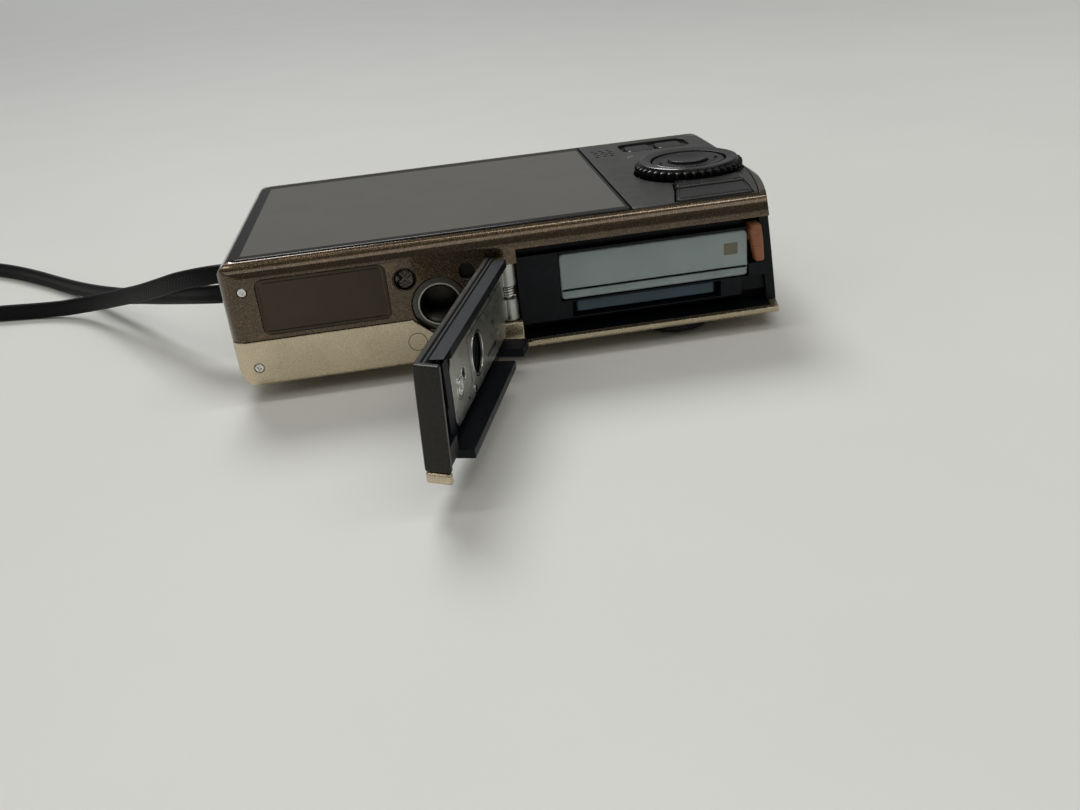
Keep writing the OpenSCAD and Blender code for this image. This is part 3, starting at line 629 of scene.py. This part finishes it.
def band(path, width, thickness, ring=20):
    """Flat soft band on its edge along path, with its texture space along it."""
    points, spots = [], []
    length = 0
    for i, p in enumerate(path):
        if i:
            length += (p - path[i - 1]).length
        ahead = (path[min(i + 1, len(path) - 1)] - path[max(i - 1, 0)]).normalized()
        side = ahead.cross(Vector((0, 0, 1))).normalized()
        up = side.cross(ahead)
        for k in range(ring):
            a = 2 * pi * k / ring
            c, s = cos(a), sin(a)
            # a flattened oval with full, round edges
            u = (abs(c) ** 0.75) * (1 if c > 0 else -1) * thickness / 2
            v = (abs(s) ** 0.6) * (1 if s > 0 else -1) * width / 2
            points.append(tuple(p + side * u + up * v))
            spots.append((k / ring * 2 * (width + thickness), length))
    return points, skin(len(path), ring), spots


def add_strap():
    path = smooth_route(ROUTE, 8)
    points, faces, spots = band(path, STRAP_W, STRAP_T)
    mesh = bpy.data.meshes.new("strap_band")
    mesh.from_pydata([in_metres(p) for p in points], [], faces)
    layer = mesh.uv_layers.new(name="along")
    for loop in mesh.loops:
        layer.data[loop.index].uv = spots[loop.vertex_index]
    settled(mesh)
    ob = finished("strap_band", mesh, WEBBING, "wrist_strap")
    end = softened("strap_end", WEBBING, 0.15)


add_strap()


# ---- covers and bottom face ----

def plus(at, reach, width, turn):
    """Outline of a cross that is turned by turn degrees."""
    h = width / 2
    corners = [(reach, -h), (reach, h), (h, h), (h, reach), (-h, reach), (-h, h),
               (-reach, h), (-reach, -h), (-h, -h), (-h, -reach), (h, -reach), (h, -h)]
    c, s = cos(radians(turn)), sin(radians(turn))
    return [(at[0] + x * c - y * s, at[1] + x * s + y * c) for x, y in corners]


def cross_screw(at, r, face, depth, reach, width, turn, shank, end):
    """Screw with a cross recess; face is its head's outer face, and end is its tip."""
    head = sheet(circle(*at, r), face, face + depth, (r * 0.22, 0.03), [plus(at, reach, width, turn)])
    floor = sheet(circle(*at, r * 0.9), face + depth * 0.8, face + depth + 0.1, (0.03, 0.03))
    body = sheet(circle(*at, shank, 32), face + depth, end, (0.02, shank * 0.3))
    return joined(head, floor, body)


def border(x0, z0, x1, z1, r, width, y0, y1):
    """Flat rim of the given width inside a rounded box."""
    inner = soft_box(x0 + width, z0 + width, x1 - width, z1 - width, r - width)
    return sheet(soft_box(x0, z0, x1, z1, r), y0, y1, (0.02, 0.02), [inner], 2)


LABEL_BOX = (-41.05, 11.45, -20.75, 20.45)
TRIPOD = (-12.8, 12.65)
SOCKET_SCREW = (-17.8, 17.5)


def add_covers():
    softened("rear_cover", BRONZE, 0.14, {
        "X": (-43.2, -31, -17.8, -12.8, -7.8, -1.7, 2, 12, 23, 30, 35.2), "Y": (22.3, 37.5)})
    softened("front_cover", CHAMPAGNE, 0.14, {"X": (-43.2, -38, -36, -34, -17, -12.8, 1.5, 12)})
    softened("terminal_cover", BRONZE, 0.1)
    softened("terminal_block", BLACK, 0.08, {"Y": (34, 41)})
    x0, z0, x1, z1 = LABEL_BOX
    inset = 0.55
    plate = sheet(soft_box(x0 + inset, z0 + inset, x1 - inset, z1 - inset, 0.7), 0.07, 0.24, (0.05, 0.02))
    piece("label_film", joined(plate, border(x0, z0, x1, z1, 1, 0.45, 0.06, 0.23)), LABEL, "label_plate")
    screws = [cross_screw(at, 0.74, face=0.02, depth=0.3, reach=0.34, width=0.14, turn=turn,
                          shank=0.45, end=3.2) for at, turn in (((-43.2, 18.9), 20), ((-43.2, 6), 65))]
    piece("corner_screws", joined(*screws), CHROME, "case_screws")
    big = cross_screw(SOCKET_SCREW, 1.72, face=0.3, depth=0.55, reach=1.1, width=0.42, turn=35,
                      shank=0.9, end=6)
    piece("big_screw", big, DARK_STEEL, "socket_screw")
    rim = tube(1.75, 1.84, 0.02, 0.5, SOCKET_SCREW, "Y", 0.03)
    piece("screw_well_rim", rim, BRONZE, "rear_cover", replaced=False)
    well = sheet(circle(-7.8, 17.5, 1.29), 1.3, 1.6, (0.05, 0.05))
    piece("spare_hole_floor", well, BLACK, "rear_cover", replaced=False)
    mark = tube(1.44, 1.56, -0.012, 0.05, (-17.3, 6.7), "Y", 0.01)
    piece("round_mark", mark, DARK_STEEL, "front_cover", replaced=False)


def add_tripod_socket():
    """Flange with one side cut straight, a chamfered mouth and a threaded bore."""
    pitch, bore, crest = 1.27, 3.2, 2.72
    flange_r, flat_at, flat_x, flat_z = 4.44, 3.95, 0.64, 0.77
    flange = []
    for x, z in circle(0, 0, flange_r, 96):
        over = max(-x * flat_x - z * flat_z - flat_at, 0)
        flange.append((TRIPOD[0] + x + over * flat_x, TRIPOD[1] + z + over * flat_z))
    mouth = circle(*TRIPOD, 3.35, 96)
    face = sheet(flange, 0.06, 1.4, (0.12, 0.05), [mouth])
    profile = [(3.36, 0.1), (bore, 0.35)]
    for turn in range(5):
        y = 0.6 + turn * pitch
        profile += [(bore, y), (crest, y + pitch * 0.4), (crest, y + pitch * 0.52), (bore, y + pitch * 0.92)]
    profile += [(bore, 6.5), (3.0, 6.55), (0, 6.6), (0, 7.4), (3.9, 7.4), (3.9, 1.0), (3.36, 0.9)]
    # the thread and the floor of the bore take the darker metal: painted shade inside the hole
    thread = lathe(eased(profile, 0.06, 2), TRIPOD, "Y")
    # a ring of light steel round the socket's mouth: painted highlight on its edge
    rim = tube(3.3, 3.55, 0.0, 0.2, TRIPOD, "Y", 0.05)
    seat = tube(3.9, 4.53, 0.45, 1.0, TRIPOD, "Y", 0.05)
    piece("tripod_flange", face, SOCKET, "tripod_socket")
    piece("tripod_thread", thread, SHADED_BORE_METAL, "tripod_socket", replaced=False)
    piece("tripod_mouth_highlight", rim, STEEL, "tripod_socket", replaced=False)
    piece("tripod_seat", seat, BLACK, "rear_cover", replaced=False)


add_covers()
add_tripod_socket()


# ---- bay, battery, card ----

BATTERY_X = (7.4, 39.4)
BATTERY_Z = (9.35, 17.25)
BATTERY_Y = (2.8, 47.7)
CONTACTS_X = (11, 15.5, 20)


def add_battery():
    x0, x1 = BATTERY_X
    z0, z1 = BATTERY_Z
    y0, y1 = BATTERY_Y
    tray_top, case_low, cap = 10.74, 10.87, 0.5
    case = rounded([(x0, case_low, 0.06), (x1, case_low, 0.06), (x1, z1, 0.8), (x0, z1, 0.8)])
    tray = rounded([(x0, z0, 0.8), (x1, z0, 0.8), (x1, tray_top, 0.06), (x0, tray_top, 0.06)])
    pockets = [soft_box(x - 1.2, 12, x + 1.2, 15, 0.2, 3) for x in CONTACTS_X]
    piece("battery_upper", joined(
        sheet(case, y0, y1 - cap, (0.3, 0.02), steps=4),
        sheet(case, y1 - cap, y1, (0.02, 0.15), pockets)), BATTERY, "battery_case")
    piece("battery_lower", sheet(tray, y0, y1, (0.3, 0.2), steps=4), BATTERY_TRAY, "battery_tray")
    pads = [sheet(soft_box(x - 1.08, 12.12, x + 1.08, 14.88, 0.15, 3), y1 - 0.45, y1 - 0.12,
                  (0.02, 0.08)) for x in CONTACTS_X]
    piece("battery_pads", joined(*pads), GOLD, "battery_terminals")
    mark = sheet(soft_box(35.3, 13.3, 37.7, 15.3, 0.12, 3), y0 - 0.03, y0 + 0.1, (0.02, 0.02))
    piece("battery_blank_mark", mark, TAN, "battery_case", replaced=False)
    bend = [(47.95, 12.65), (48.3, 12.65), (48.3, 14.35), (47.95, 14.35), (47.87, 13.5)]
    fingers = [slab(eased(bend, 0.12, closed=True), x - 0.58, x + 0.58, (0.05, 0.05), axis="X")
               for x in CONTACTS_X]
    piece("spring_contacts", joined(*fingers), GOLD, "battery_contacts")


def add_latch():
    """Sprung hook that is widest at its top, on a thin stem."""
    corners = [(1.1, 11.75, 0.4), (2.6, 11.7, 0.4), (2.42, 15.4, 0.6), (2.05, 18.0, 0.5),
               (1.4, 18.6, 0.5), (0.3, 18.5, 0.35), (0.05, 17.2, 0.5)]
    x = BATTERY_X[1] + 0.05
    hook = sheet(rounded([(x + a, z, r) for a, z, r in corners]), 1.72, 3.58, (0.45, 0.1), steps=4)
    stem = block((x + 0.16, 3.5, 15.2), (x + 0.94, 8.58, 18.15), 0.15)
    grips = [sheet(soft_box(x + 0.85, z, x + 1.8, z + 0.28, 0.12, 3), 1.62, 1.9, (0.08, 0.02))
             for z in (14.2, 15.1, 16.0)]
    piece("latch_hook", joined(hook, stem, *grips), LATCH, "battery_latch")


def add_card():
    """Card with a cut corner, a write-protect notch, two raised rims and eight contacts."""
    x0, y0, z0, z1 = 9.8, 3.4, 6.75, 8.85
    x1, y1 = x0 + 24, y0 + 32
    cut, notch, notch_y0, notch_y1 = 4, 0.65, y0 + 22, y0 + 26
    outline = rounded([(x0, y0, 0.5), (x1, y0, 0.5), (x1, y1 - cut, 0.4), (x1 - cut, y1, 0.4),
                       (x0, y1, 0.5), (x0, notch_y1, 0.1), (x0 + notch, notch_y1, 0.1),
                       (x0 + notch, notch_y0, 0.1), (x0, notch_y0, 0.1)], 4)
    body = slab(outline, z0, z1 - 0.1, (0.25, 0.2))
    rims = [slab(soft_box(x, y0 + 0.1, x + 1.1, y1 - 6.5, 0.2, 3), z1 - 0.3, z1, (0, 0.08))
            for x in (x0 + 0.1, x1 - 1.2)]
    piece("card_body", joined(body, *rims), CARD, "memory_card")
    film = slab(soft_box(x0 + 1.5, y0 + 1.2, x1 - 1.5, y1 - 7, 0.8), z1 - 0.2, z1 - 0.04, (0.02, 0.03))
    piece("card_film", film, CARD_LABEL, "memory_card", replaced=False)
    pads = [slab(soft_box(x0 + 1.6 + k * 2.45, y1 - 5.2, x0 + 3.2 + k * 2.45, y1 - 1.2, 0.2, 3),
                 z0 - 0.01, z0 + 0.1, (0.02, 0.02)) for k in range(8)]
    piece("card_pads", joined(*pads), GOLD, "memory_card", replaced=False)


def side_x(y, z):
    """X of the grip side, which is part of a large cylinder that leans."""
    radius, lean, middle_y, middle_z, end_x = 105, radians(24), 31, 13.1, 46.9
    dy, dz = y - middle_y, z - middle_z
    along = dy * sin(lean) + dz * cos(lean)
    return end_x - radius + sqrt(radius ** 2 - dy ** 2 - dz ** 2 + along ** 2)


def add_bay():
    softened("battery_bay", BAY, 0.045, {"X": (-2.5, 23, 41), "Y": (37.5,), "Z": (13,)})
    add_battery()
    add_latch()
    add_card()
    softened("card_connector", STEEL, 0.1)
    z0, z1, rim_width, steps = 3.98, 19.84, 1.6, 12
    heights = [z0 + (z1 - z0) * k / steps for k in range(steps + 1)]
    right = [(side_x(3.8, z) - 0.05, z) for z in heights]
    left = [(x - rim_width, z) for x, z in reversed(right)]
    rim = sheet(right + left, 3.73, 3.86, (0.02, 0.02))
    piece("bay_end_rim", rim, BAY, "battery_bay", replaced=False)
    floor = slab([(0.5, 1.35), (42.9, 1.35), (43.9, 6.6), (0.5, 6.6)], 3.82, 3.93, (0.02, 0.03))
    piece("bay_floor", floor, BAY, "battery_bay", replaced=False)


add_bay()


# ---- back: window, panel, controls ----

DIAL_AT = (35.2, 23.3)
KEYS_LEFT = [(27.1, 2.4), (28.9, 9.3), (30.3, 16.6)]
KEYS_RIGHT = [(40.5, 2.4), (41.5, 9.3), (42.2, 16.6)]


def add_window():
    outline = rounded([(-45, 2, 1.9), (19.8, 2, 0.5), (19.8, 53.6, 0.5), (-45, 53.6, 1.9)])
    piece("screen_glass", slab(outline, 22.36, BACK_Z, (0.05, 0.22)), GLASS, "screen_window")
    backing = slab(soft_box(-42.8, 4, 19, 51, 0.9), 19.98, 22.28)
    piece("display_module", backing, DISPLAY, "screen_panel")
    softened("control_panel", PANEL, 0.1, {
        "X": (22.1, 22.6, 23.6, 24.1, 25.1, 25.6, 27.9, 31.35, 35.2, 37.65)})
    box = slab(soft_box(20.4, 41.2, 27, 49.2, 1), 18.7, 20.9)
    cone = lathe(eased([(0, 20.6), (1.2, 20.6), (1.6, 20.95), (2.9, 21.15), (3.2, 21.15), (3.2, 20.8),
                        (0, 20.8)], 0.1), (23.7, 45.2))
    piece("speaker_unit", joined(box, cone), BLACK, "speaker")
    softened("main_board", BOARD, 0.08)
    piece("dial_base", tube(2.5, 6.6, 21, 22.2, DIAL_AT), BLACK, "dial_mount")
    well = tube(6.85, 9.6, 21.0, 22.2, DIAL_AT, ease=0.05)
    piece("dial_well", well, BLACK, "rear_cover", replaced=False)


def add_dial():
    """Ring with rounded knurls and a raised glossy face; a profile's third value is its share of a
    knurl's depth."""
    knurls = 40
    top = BACK_Z + 2
    profile = [(6.75, 22.4, 0), (8.7, 22.4, 0), (8.9, 22.6, 0), (8.9, BACK_Z + 0.1, 0),
               (8.92, BACK_Z + 0.2, 0.55), (8.95, BACK_Z + 0.35, 1), (8.95, BACK_Z + 1.25, 1),
               (8.92, BACK_Z + 1.42, 0.7), (8.9, BACK_Z + 1.5, 0), (8.86, BACK_Z + 1.75, 0),
               (8.74, top - 0.07, 0), (8.55, top, 0), (8.3, top - 0.02, 0), (7.6, top - 0.12, 0),
               (7.1, top - 0.16, 0), (6.95, top - 0.1, 0), (6.8, top - 0.14, 0), (6.75, top - 0.3, 0)]

    def tooth(angle, k):
        return 0.73 * profile[k][2] * (0.5 + 0.5 * cos(knurls * angle))

    ring = lathe([p[:2] for p in profile], DIAL_AT, "Z", knurls * 12, True, tooth)
    piece("dial_ring", ring, DIAL, "control_dial")
    face = [(6.9, top - 0.3), (8.72, top - 0.3), (8.72, top - 0.02), (8.5, top + 0.05), (8.3, top + 0.03),
            (7.2, top - 0.08), (6.9, top - 0.12)]
    piece("dial_face", turned(face, 0.05, DIAL_AT, segments=160), DIAL_FACE, "control_dial")
    pad = [(3.62, 22.65), (6.55, 22.65), (6.55, top - 0.42), (6.2, top - 0.24), (5.0, top - 0.42),
           (3.9, top - 0.32), (3.62, top - 0.45)]
    dots = [button(0.32, top - 0.5, top - 0.24, at, ease=0.1, dish=-0.05, segments=24)
            for at in circle(*DIAL_AT, 5.15, 4)]
    piece("pad_ring", joined(turned(pad, 0.18, DIAL_AT), *dots), CONTROLS, "direction_pad")
    piece("set_key", button(3.5, 22.65, BACK_Z + 2.08, DIAL_AT, ease=0.35, dish=0.22), CONTROLS,
          "set_button")


def x_at(side, y):
    """X of a side of two straight stretches, given as three points, at y."""
    (xa, ya), (xb, yb) = side[:2] if y < side[1][1] else side[1:]
    return xa + (y - ya) * (xb - xa) / (yb - ya)


def stacked(y0, y1):
    """Outline of a button below the dial, with its top cut to the dial's circle."""
    def edges(y):
        return x_at(KEYS_LEFT, y) + 0.24, x_at(KEYS_RIGHT, y) - 0.24

    low, high = y0 + 0.2, y1 - 0.2
    # the dial's recess, the panel's rim round it and a gap
    clear = 9.7 + 0.7 + 0.2
    left, right = edges(low)
    out = [(left, low, 0.5), (right, low, 0.5)]
    if high < DIAL_AT[1] - clear:
        left, right = edges(high)
        return rounded(out + [(right, high, 0.4), (left, high, 0.4)])
    points = []
    start, end, steps = 42.2, 28.8, 40
    for k in range(steps + 1):
        x = start + (end - start) * k / steps
        y = min(DIAL_AT[1] - sqrt(max(clear ** 2 - (x - DIAL_AT[0]) ** 2, 0)), high)
        left, right = edges(y)
        if left <= x <= right:
            points.append((x, y, 0))
    first, last = points[0][1], points[-1][1]
    return rounded(out + [(edges(first)[1], first, 0)] + points + [(edges(last)[0], last, 0)])


def add_buttons():
    low = 21.3
    for name, y0, y1, rise in (("menu", 9.2, 16.6, 0.7), ("display", 2.0, 9.2, 0.42)):
        key = slab(stacked(y0, y1), low, BACK_Z + rise, (0.1, 0.6), steps=6)
        piece(name + "_key", key, CONTROLS, name + "_button")
    for name, x0 in (("playback", 28.75), ("print", 35.05)):
        key = slab(soft_box(x0, 44.75, x0 + 5.2, 50.05, 1.05), low, BACK_Z - 0.22, (0.1, 0.3), steps=4)
        piece(name + "_key", key, CONTROLS, name + "_button")
    piece("lamp_lens", button(0.7, 21.5, BACK_Z + 0.02, (27.9, 39.1), ease=0.15, dish=-0.03, segments=32),
          LAMP, "indicator_lamp")


add_window()
add_dial()
add_buttons()


# ---- front: lens, flash, grip ----

LENS = (-17.0, 28.4)


def add_lens():
    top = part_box("lens_ring")[1].z / MM
    ring = [(15.35, 0.35), (15.7, 0.02), (17.4, 0.02), (17.6, 0.3), (18.0, 0.3), (18.2, 0.02),
            (20.3, 0.02), (21.0, 0.5), (21.46, 1.3), (21.46, top), (15.35, top)]
    piece("ring_around_lens", turned(ring, 0.22, LENS, segments=192), CHAMPAGNE, "lens_ring")
    housing = [(14.95, 2.7), (16.75, 2.7), (16.75, 19.15), (0, 19.15), (0, 17.05), (14.95, 17.05)]
    piece("housing_tube", lathe(eased(housing, 0.15) + housing[:1], LENS, segments=128), BLACK,
          "lens_housing")
    wall, groove = 14.78, 14.62
    outer = [(13.3, 0.9), (13.55, 0.52), (14.4, 0.52), (wall, 0.9)]
    for z in (2.2, 3.1, 4.0):
        outer += [(wall, z), (groove, z + 0.1), (groove, z + 0.35), (wall, z + 0.45)]
    outer += [(wall, 12.98), (13.3, 12.98)]
    piece("outer_tube", turned(outer, 0.08, LENS, segments=160), BARREL, "outer_barrel")
    inner = [(5.65, 0.75), (6.6, 0.34), (8.6, 0.5), (11.9, 0.34), (12.7, 0.34), (13.16, 0.8), (13.16, 12.55),
             (7.05, 12.55), (7.05, 6.62), (8.2, 6.62), (8.2, 1.82), (12.6, 1.82), (12.6, 0.98), (5.65, 0.98)]
    piece("inner_tube", turned(inner, 0.1, LENS, segments=160), BARREL, "inner_barrel")
    bulge = 13
    rise = [(r, 2.4 + bulge - sqrt(bulge ** 2 - r ** 2)) for r in (0.81 * k for k in range(11))]
    piece("front_glass", lathe(rise + [(8.12, 5.5), (8.12, 6.3), (7.9, 6.4), (0, 6.4)], LENS), OPTIC,
          "front_lens")
    r, gap, steps = 6.3, 0.03, 40
    for name, node, side in (("blade_a", "upper_blade", 1), ("blade_b", "lower_blade", -1)):
        angles = [pi * (0.004 + 0.992 * k / steps) for k in range(steps + 1)]
        outline = [(LENS[0] + r * cos(a), LENS[1] + side * max(r * sin(a), gap)) for a in angles]
        leaf = slab(outline, 1.12, 1.48, (0.06, 0.06))
        y = LENS[1] + side * 1.6
        rib = block((LENS[0] - 3, y - 0.2, 1.1), (LENS[0] + 3, y + 0.2, 1.3), 0.06)
        piece(name, joined(leaf, rib), BLACK, node)
    chip = slab(soft_box(-23.8, 23.1, -10.2, 33.7, 0.3), 17.3, 18.15, (0.05, 0.05))
    face = slab(soft_box(-22.2, 24.4, -11.8, 32.4, 0.3), 17.1, 17.35, (0.08, 0.02))
    piece("sensor_chip", joined(chip, face), DISPLAY, "image_sensor")


def add_front_fittings():
    window = slab(soft_box(6.2, 50.6, 17.8, 54.4, 0.7), 2.66, 3.8, (0.15, 0.05))
    ribs = [block((x, 50.9, 3.7), (x + 0.35, 54.1, 3.95), 0.08)
            for x in (6.6 + 0.7 * k for k in range(16))]
    piece("flash_glass", joined(window, *ribs), FLASH, "flash_window")
    softened("flash_tube", CHROME, 0.08)
    sleeve = [(0, 27.5), (4.1, 27.5), (4.38, 27.9), (4.38, 39.9), (4.2, 40.1), (4.38, 40.3), (4.38, 40.8),
              (4.1, 41), (3.2, 41), (3.1, 40.8), (0, 40.8)]
    piece("capacitor_can", lathe(eased(sleeve, 0.12), (-40.2, 11.4), "Y"), BLACK, "flash_capacitor")
    can = [(0, 41.6), (0.58, 41.6), (0.58, 42.9), (1.6, 43), (1.8, 43.02), (3.0, 43.02), (3.18, 43.3),
           (3.18, 46.9), (3.05, 47), (3.05, 47.3), (3.18, 47.4), (3.18, 52.8), (2.9, 53), (0, 53)]
    piece("motor_can", lathe(eased(can, 0.08), (-40.5, 9), "Y"), STEEL, "zoom_motor")
    piece("focus_lens", button(1.78, 2.66, 4.98, (1.5, 51.5), ease=0.2, dish=0.1, segments=48), AMBER,
          "focus_lamp")
    pad = slab(soft_box(22, 3, 34, 51, 5.5, 12), 0.35, 2.58, (1.2, 0.1), steps=5)
    ribs = [slab(soft_box(24.2, y, 31.8, y + 1.1, 0.5, 4), 0.01, 0.9, (0.35, 0))
            for y in (8 + 2.3 * k for k in range(17))]
    piece("grip_pad", joined(pad, *ribs), RUBBER, "finger_grip")


add_lens()
add_front_fittings()


# ---- top face ----

def add_top_controls():
    shutter, power, mode = (30, 13.1), (12, 13.1), 2.0
    collar = [(3.92, 53.6), (4.48, 53.6), (4.48, 57.7), (4.3, 57.88), (4.05, 57.88), (3.92, 57.7)]
    piece("collar_ring", turned(collar, 0.08, shutter, "Y"), CHROME, "shutter_collar")
    piece("shutter_key", button(3.84, 54.1, 58.58, shutter, "Y", 0.5, 0.2), BARREL, "shutter_button")
    lever = [(4.58, 56.98), (7.1, 56.98), (7.18, 57.1), (7.18, 58.0), (6.9, 58.28), (4.8, 58.28),
             (4.58, 58.1)]

    def knurl(angle, k):
        """60 shallow grooves in the outer wall, whose points are 5 to 11."""
        return -0.09 * (0.5 + 0.5 * cos(60 * angle)) if 5 <= k <= 11 else 0

    x, z = shutter
    tab = sheet(soft_box(x - 1.38, z - 8.75, x + 1.38, z - 6.4, 0.5), 56.98, 58.78, (0.1, 0.35), steps=4)
    piece("lever_ring", joined(turned(lever, 0.12, shutter, "Y", 360, knurl), tab), CHAMPAGNE, "zoom_lever")
    piece("power_key", button(2.24, 54.65, 57.08, power, "Y", 0.25, 0.15), BARREL, "power_button")
    base = sheet(soft_box(mode - 1.98, 11.87, mode + 1.98, 14.33, 0.4), 54.85, 56.88, (0.1, 0.12))
    ribs = [sheet(soft_box(x, 12.15, x + 0.3, 14.05, 0.1, 3), 56.8, 57.58, (0, 0.12))
            for x in (mode - 1.1 + 0.5 * k for k in range(5))]
    knob = sheet(soft_box(mode - 1.18, 12.12, mode + 1.18, 14.08, 0.3), 56.8, 57.3, (0, 0.1))
    piece("mode_knob", joined(base, *ribs, knob), BLACK, "mode_switch")


add_top_controls()


# ---- strap lug, hinge and door ----

HINGE = (-1.5, 2.2)
PIN_LOCKED = (-3.5, 2.2)
DOOR_OPEN = radians([j for j in frame["joints"] if j["name"] == "door_hinge"][0]["range_deg"][1])


def on_door(p):
    """Moves a point of the closed, locked door to the open, unlocked door."""
    x, y = p[0] - PIN_LOCKED[0], p[1] - PIN_LOCKED[1]
    c, s = cos(-DOOR_OPEN), sin(-DOOR_OPEN)
    return (HINGE[0] + x * c - y * s, HINGE[1] + x * s + y * c, p[2])


def coil(at, r, wire, low, high, turns, ring=10):
    """Helix of round wire along Z."""
    points = []
    steps = turns * 40
    for i in range(steps + 1):
        a = 2 * pi * turns * i / steps
        z = low + (high - low) * i / steps
        for k in range(ring):
            b = 2 * pi * k / ring
            reach = r + wire * cos(b)
            points.append((at[0] + reach * cos(a), at[1] + reach * sin(a), z + wire * sin(b)))
    return points, skin(steps + 1, ring)


def add_hinge():
    softened("strap_lug", CHROME, 0.12)
    pin = [(0, 7.0), (0.45, 7.0), (0.59, 7.15), (0.59, 18.05), (0.45, 18.2), (0, 18.2)]
    piece("pin_rod", lathe(eased(pin, 0.05), HINGE, segments=48), CHROME, "hinge_pin")
    spring = coil(HINGE, 1.02, 0.17, 11.62, 13.4, 4)
    piece("spring_coil", spring, CHROME, "hinge_spring")
    softened("hinge_bracket", STEEL, 0.1)


def add_door():
    softened("door_outer", DOOR_SKIN, 0.25)
    softened("door_trim", CHAMPAGNE, 0.4)
    softened("door_frame", BAY, 0.1, {"X": (19.9, 30.6)}, on_door)
    hole, small_hole, screw, rivet = (19.9, 11.6), (28.3, 12.1), (30.6, 11.2), (23.5, 7.5)
    outline = rounded([(1, 7.4, 0.3), (1.8, 6.6, 0.3), (33.4, 6.6, 0.3), (34.2, 7.6, 0.3),
                       (34.2, 15.2, 0.3), (33, 16.8, 0.3), (1, 16.8, 0.2)])
    holes = [circle(*hole, 3), circle(*small_hole, 0.9, 32), circle(6.5, 9.4, 0.6, 24),
             circle(*screw, 0.6, 24), circle(*rivet, 0.35, 16)]
    plate = sheet(outline, 1.9, 2.19, (0.02, 0.06), holes)
    piece("plate_sheet", plate, STEEL, "door_plate", on_door)
    rims = joined(tube(3.02, 3.4, 2.1, 2.3, hole, "Y", 0.08),
                  tube(0.92, 1.15, 2.15, 2.26, small_hole, "Y", 0.04),
                  tube(1.45, 1.75, 2.15, 2.27, screw, "Y", 0.04))
    piece("plate_rims", rims, CHROME, "door_plate", on_door, False)
    # dark steel strips along the plate's creases: painted shade in the creases
    crease_shade_strips = [soft_box(1.3, 15.6, 24.0, 15.72, 0.05, 2), soft_box(24.4, 7.4, 24.52, 16.4, 0.05, 2),
               soft_box(8.5, 8.4, 14.5, 8.9, 0.2, 3)]
    lines = joined(*[sheet(shade_strip, 2.15, 2.215, (0, 0.02)) for shade_strip in crease_shade_strips])
    piece("plate_crease_shade", lines, DARK_STEEL, "door_plate", on_door, False)
    head = sheet(circle(*screw, 1.28), 2.2, 2.4, (0.02, 0.12), [plus(screw, 0.7, 0.3, 25)])
    shank = sheet(circle(*screw, 0.55, 32), 1.1, 2.26, (0.05, 0.02))
    rivet_head = button(0.7, 2.19, 2.38, rivet, "Y", 0.1, -0.03, 32)
    piece("plate_screw", joined(head, shank, rivet_head), CHROME, "door_screws", on_door)


add_hinge()
add_door()


# ---- floor and light ----

# name, place, target, width, depth, power, colour: a long strip above, a soft front, a warm left side
LIGHTS = [("key", (0.0, 0.0, 0.72), (0.0, 0.0, 0.01), 1.2, 0.05, 1.4, (1, 0.96, 0.89)),
          ("front", (0.2, -0.34, 0.6), (0.0, 0.0, 0.02), 1.0, 0.2, 0.9, (1, 0.96, 0.88)),
          ("side", (-0.7, -0.35, 0.5), (0, 0, 0), 0.4, 0.4, 0.35, (1, 0.92, 0.80))]
WINDOW_SIDE = (-0.10, 0.62, 0.68)


def add_floor():
    mesh = bpy.data.meshes.new("floor")
    reach = 60
    mesh.from_pydata([(-reach, -reach, 0), (reach, -reach, 0), (reach, reach, 0), (-reach, reach, 0)],
                     [], [(0, 1, 2, 3)])
    floor = bpy.data.objects.new("floor", mesh)
    SCENE.collection.objects.link(floor)
    s = Shader("floor_paint", (0.74, 0.75, 0.735), 0.6, Specular_IOR_Level=0.25)
    s.paint(s.shade(s.spread(s.noise(60, 3), 0, 1), 0.985, 1.015))
    mesh.materials.append(s.material)


def add_room_light():
    world = bpy.data.worlds.new("studio")
    SCENE.world = world
    world.use_nodes = True
    back = world.node_tree.nodes["Background"]
    back.inputs["Color"].default_value = (0.62, 0.63, 0.62, 1)
    back.inputs["Strength"].default_value = 0.27


def add_light(name, place, target, width, depth, power, colour):
    data = bpy.data.lights.new(name, "AREA")
    data.shape = "RECTANGLE"
    data.size = width
    data.size_y = depth
    data.energy = power
    data.color = colour
    light = bpy.data.objects.new(name, data)
    light.location = place
    light.rotation_euler = (Vector(target) - Vector(place)).to_track_quat("-Z", "Y").to_euler()
    SCENE.collection.objects.link(light)


def add_window_light():
    """Broad, even light from behind the camera body, which draws the soft shadows in front of it."""
    data = bpy.data.lights.new("window", "SUN")
    data.energy = 1.4
    data.angle = radians(24)
    light = bpy.data.objects.new("window", data)
    light.rotation_euler = Vector(WINDOW_SIDE).to_track_quat("Z", "Y").to_euler()
    SCENE.collection.objects.link(light)


add_floor()
add_room_light()
for light in LIGHTS:
    add_light(*light)
add_window_light()
SCENE.view_settings.view_transform = "Standard"
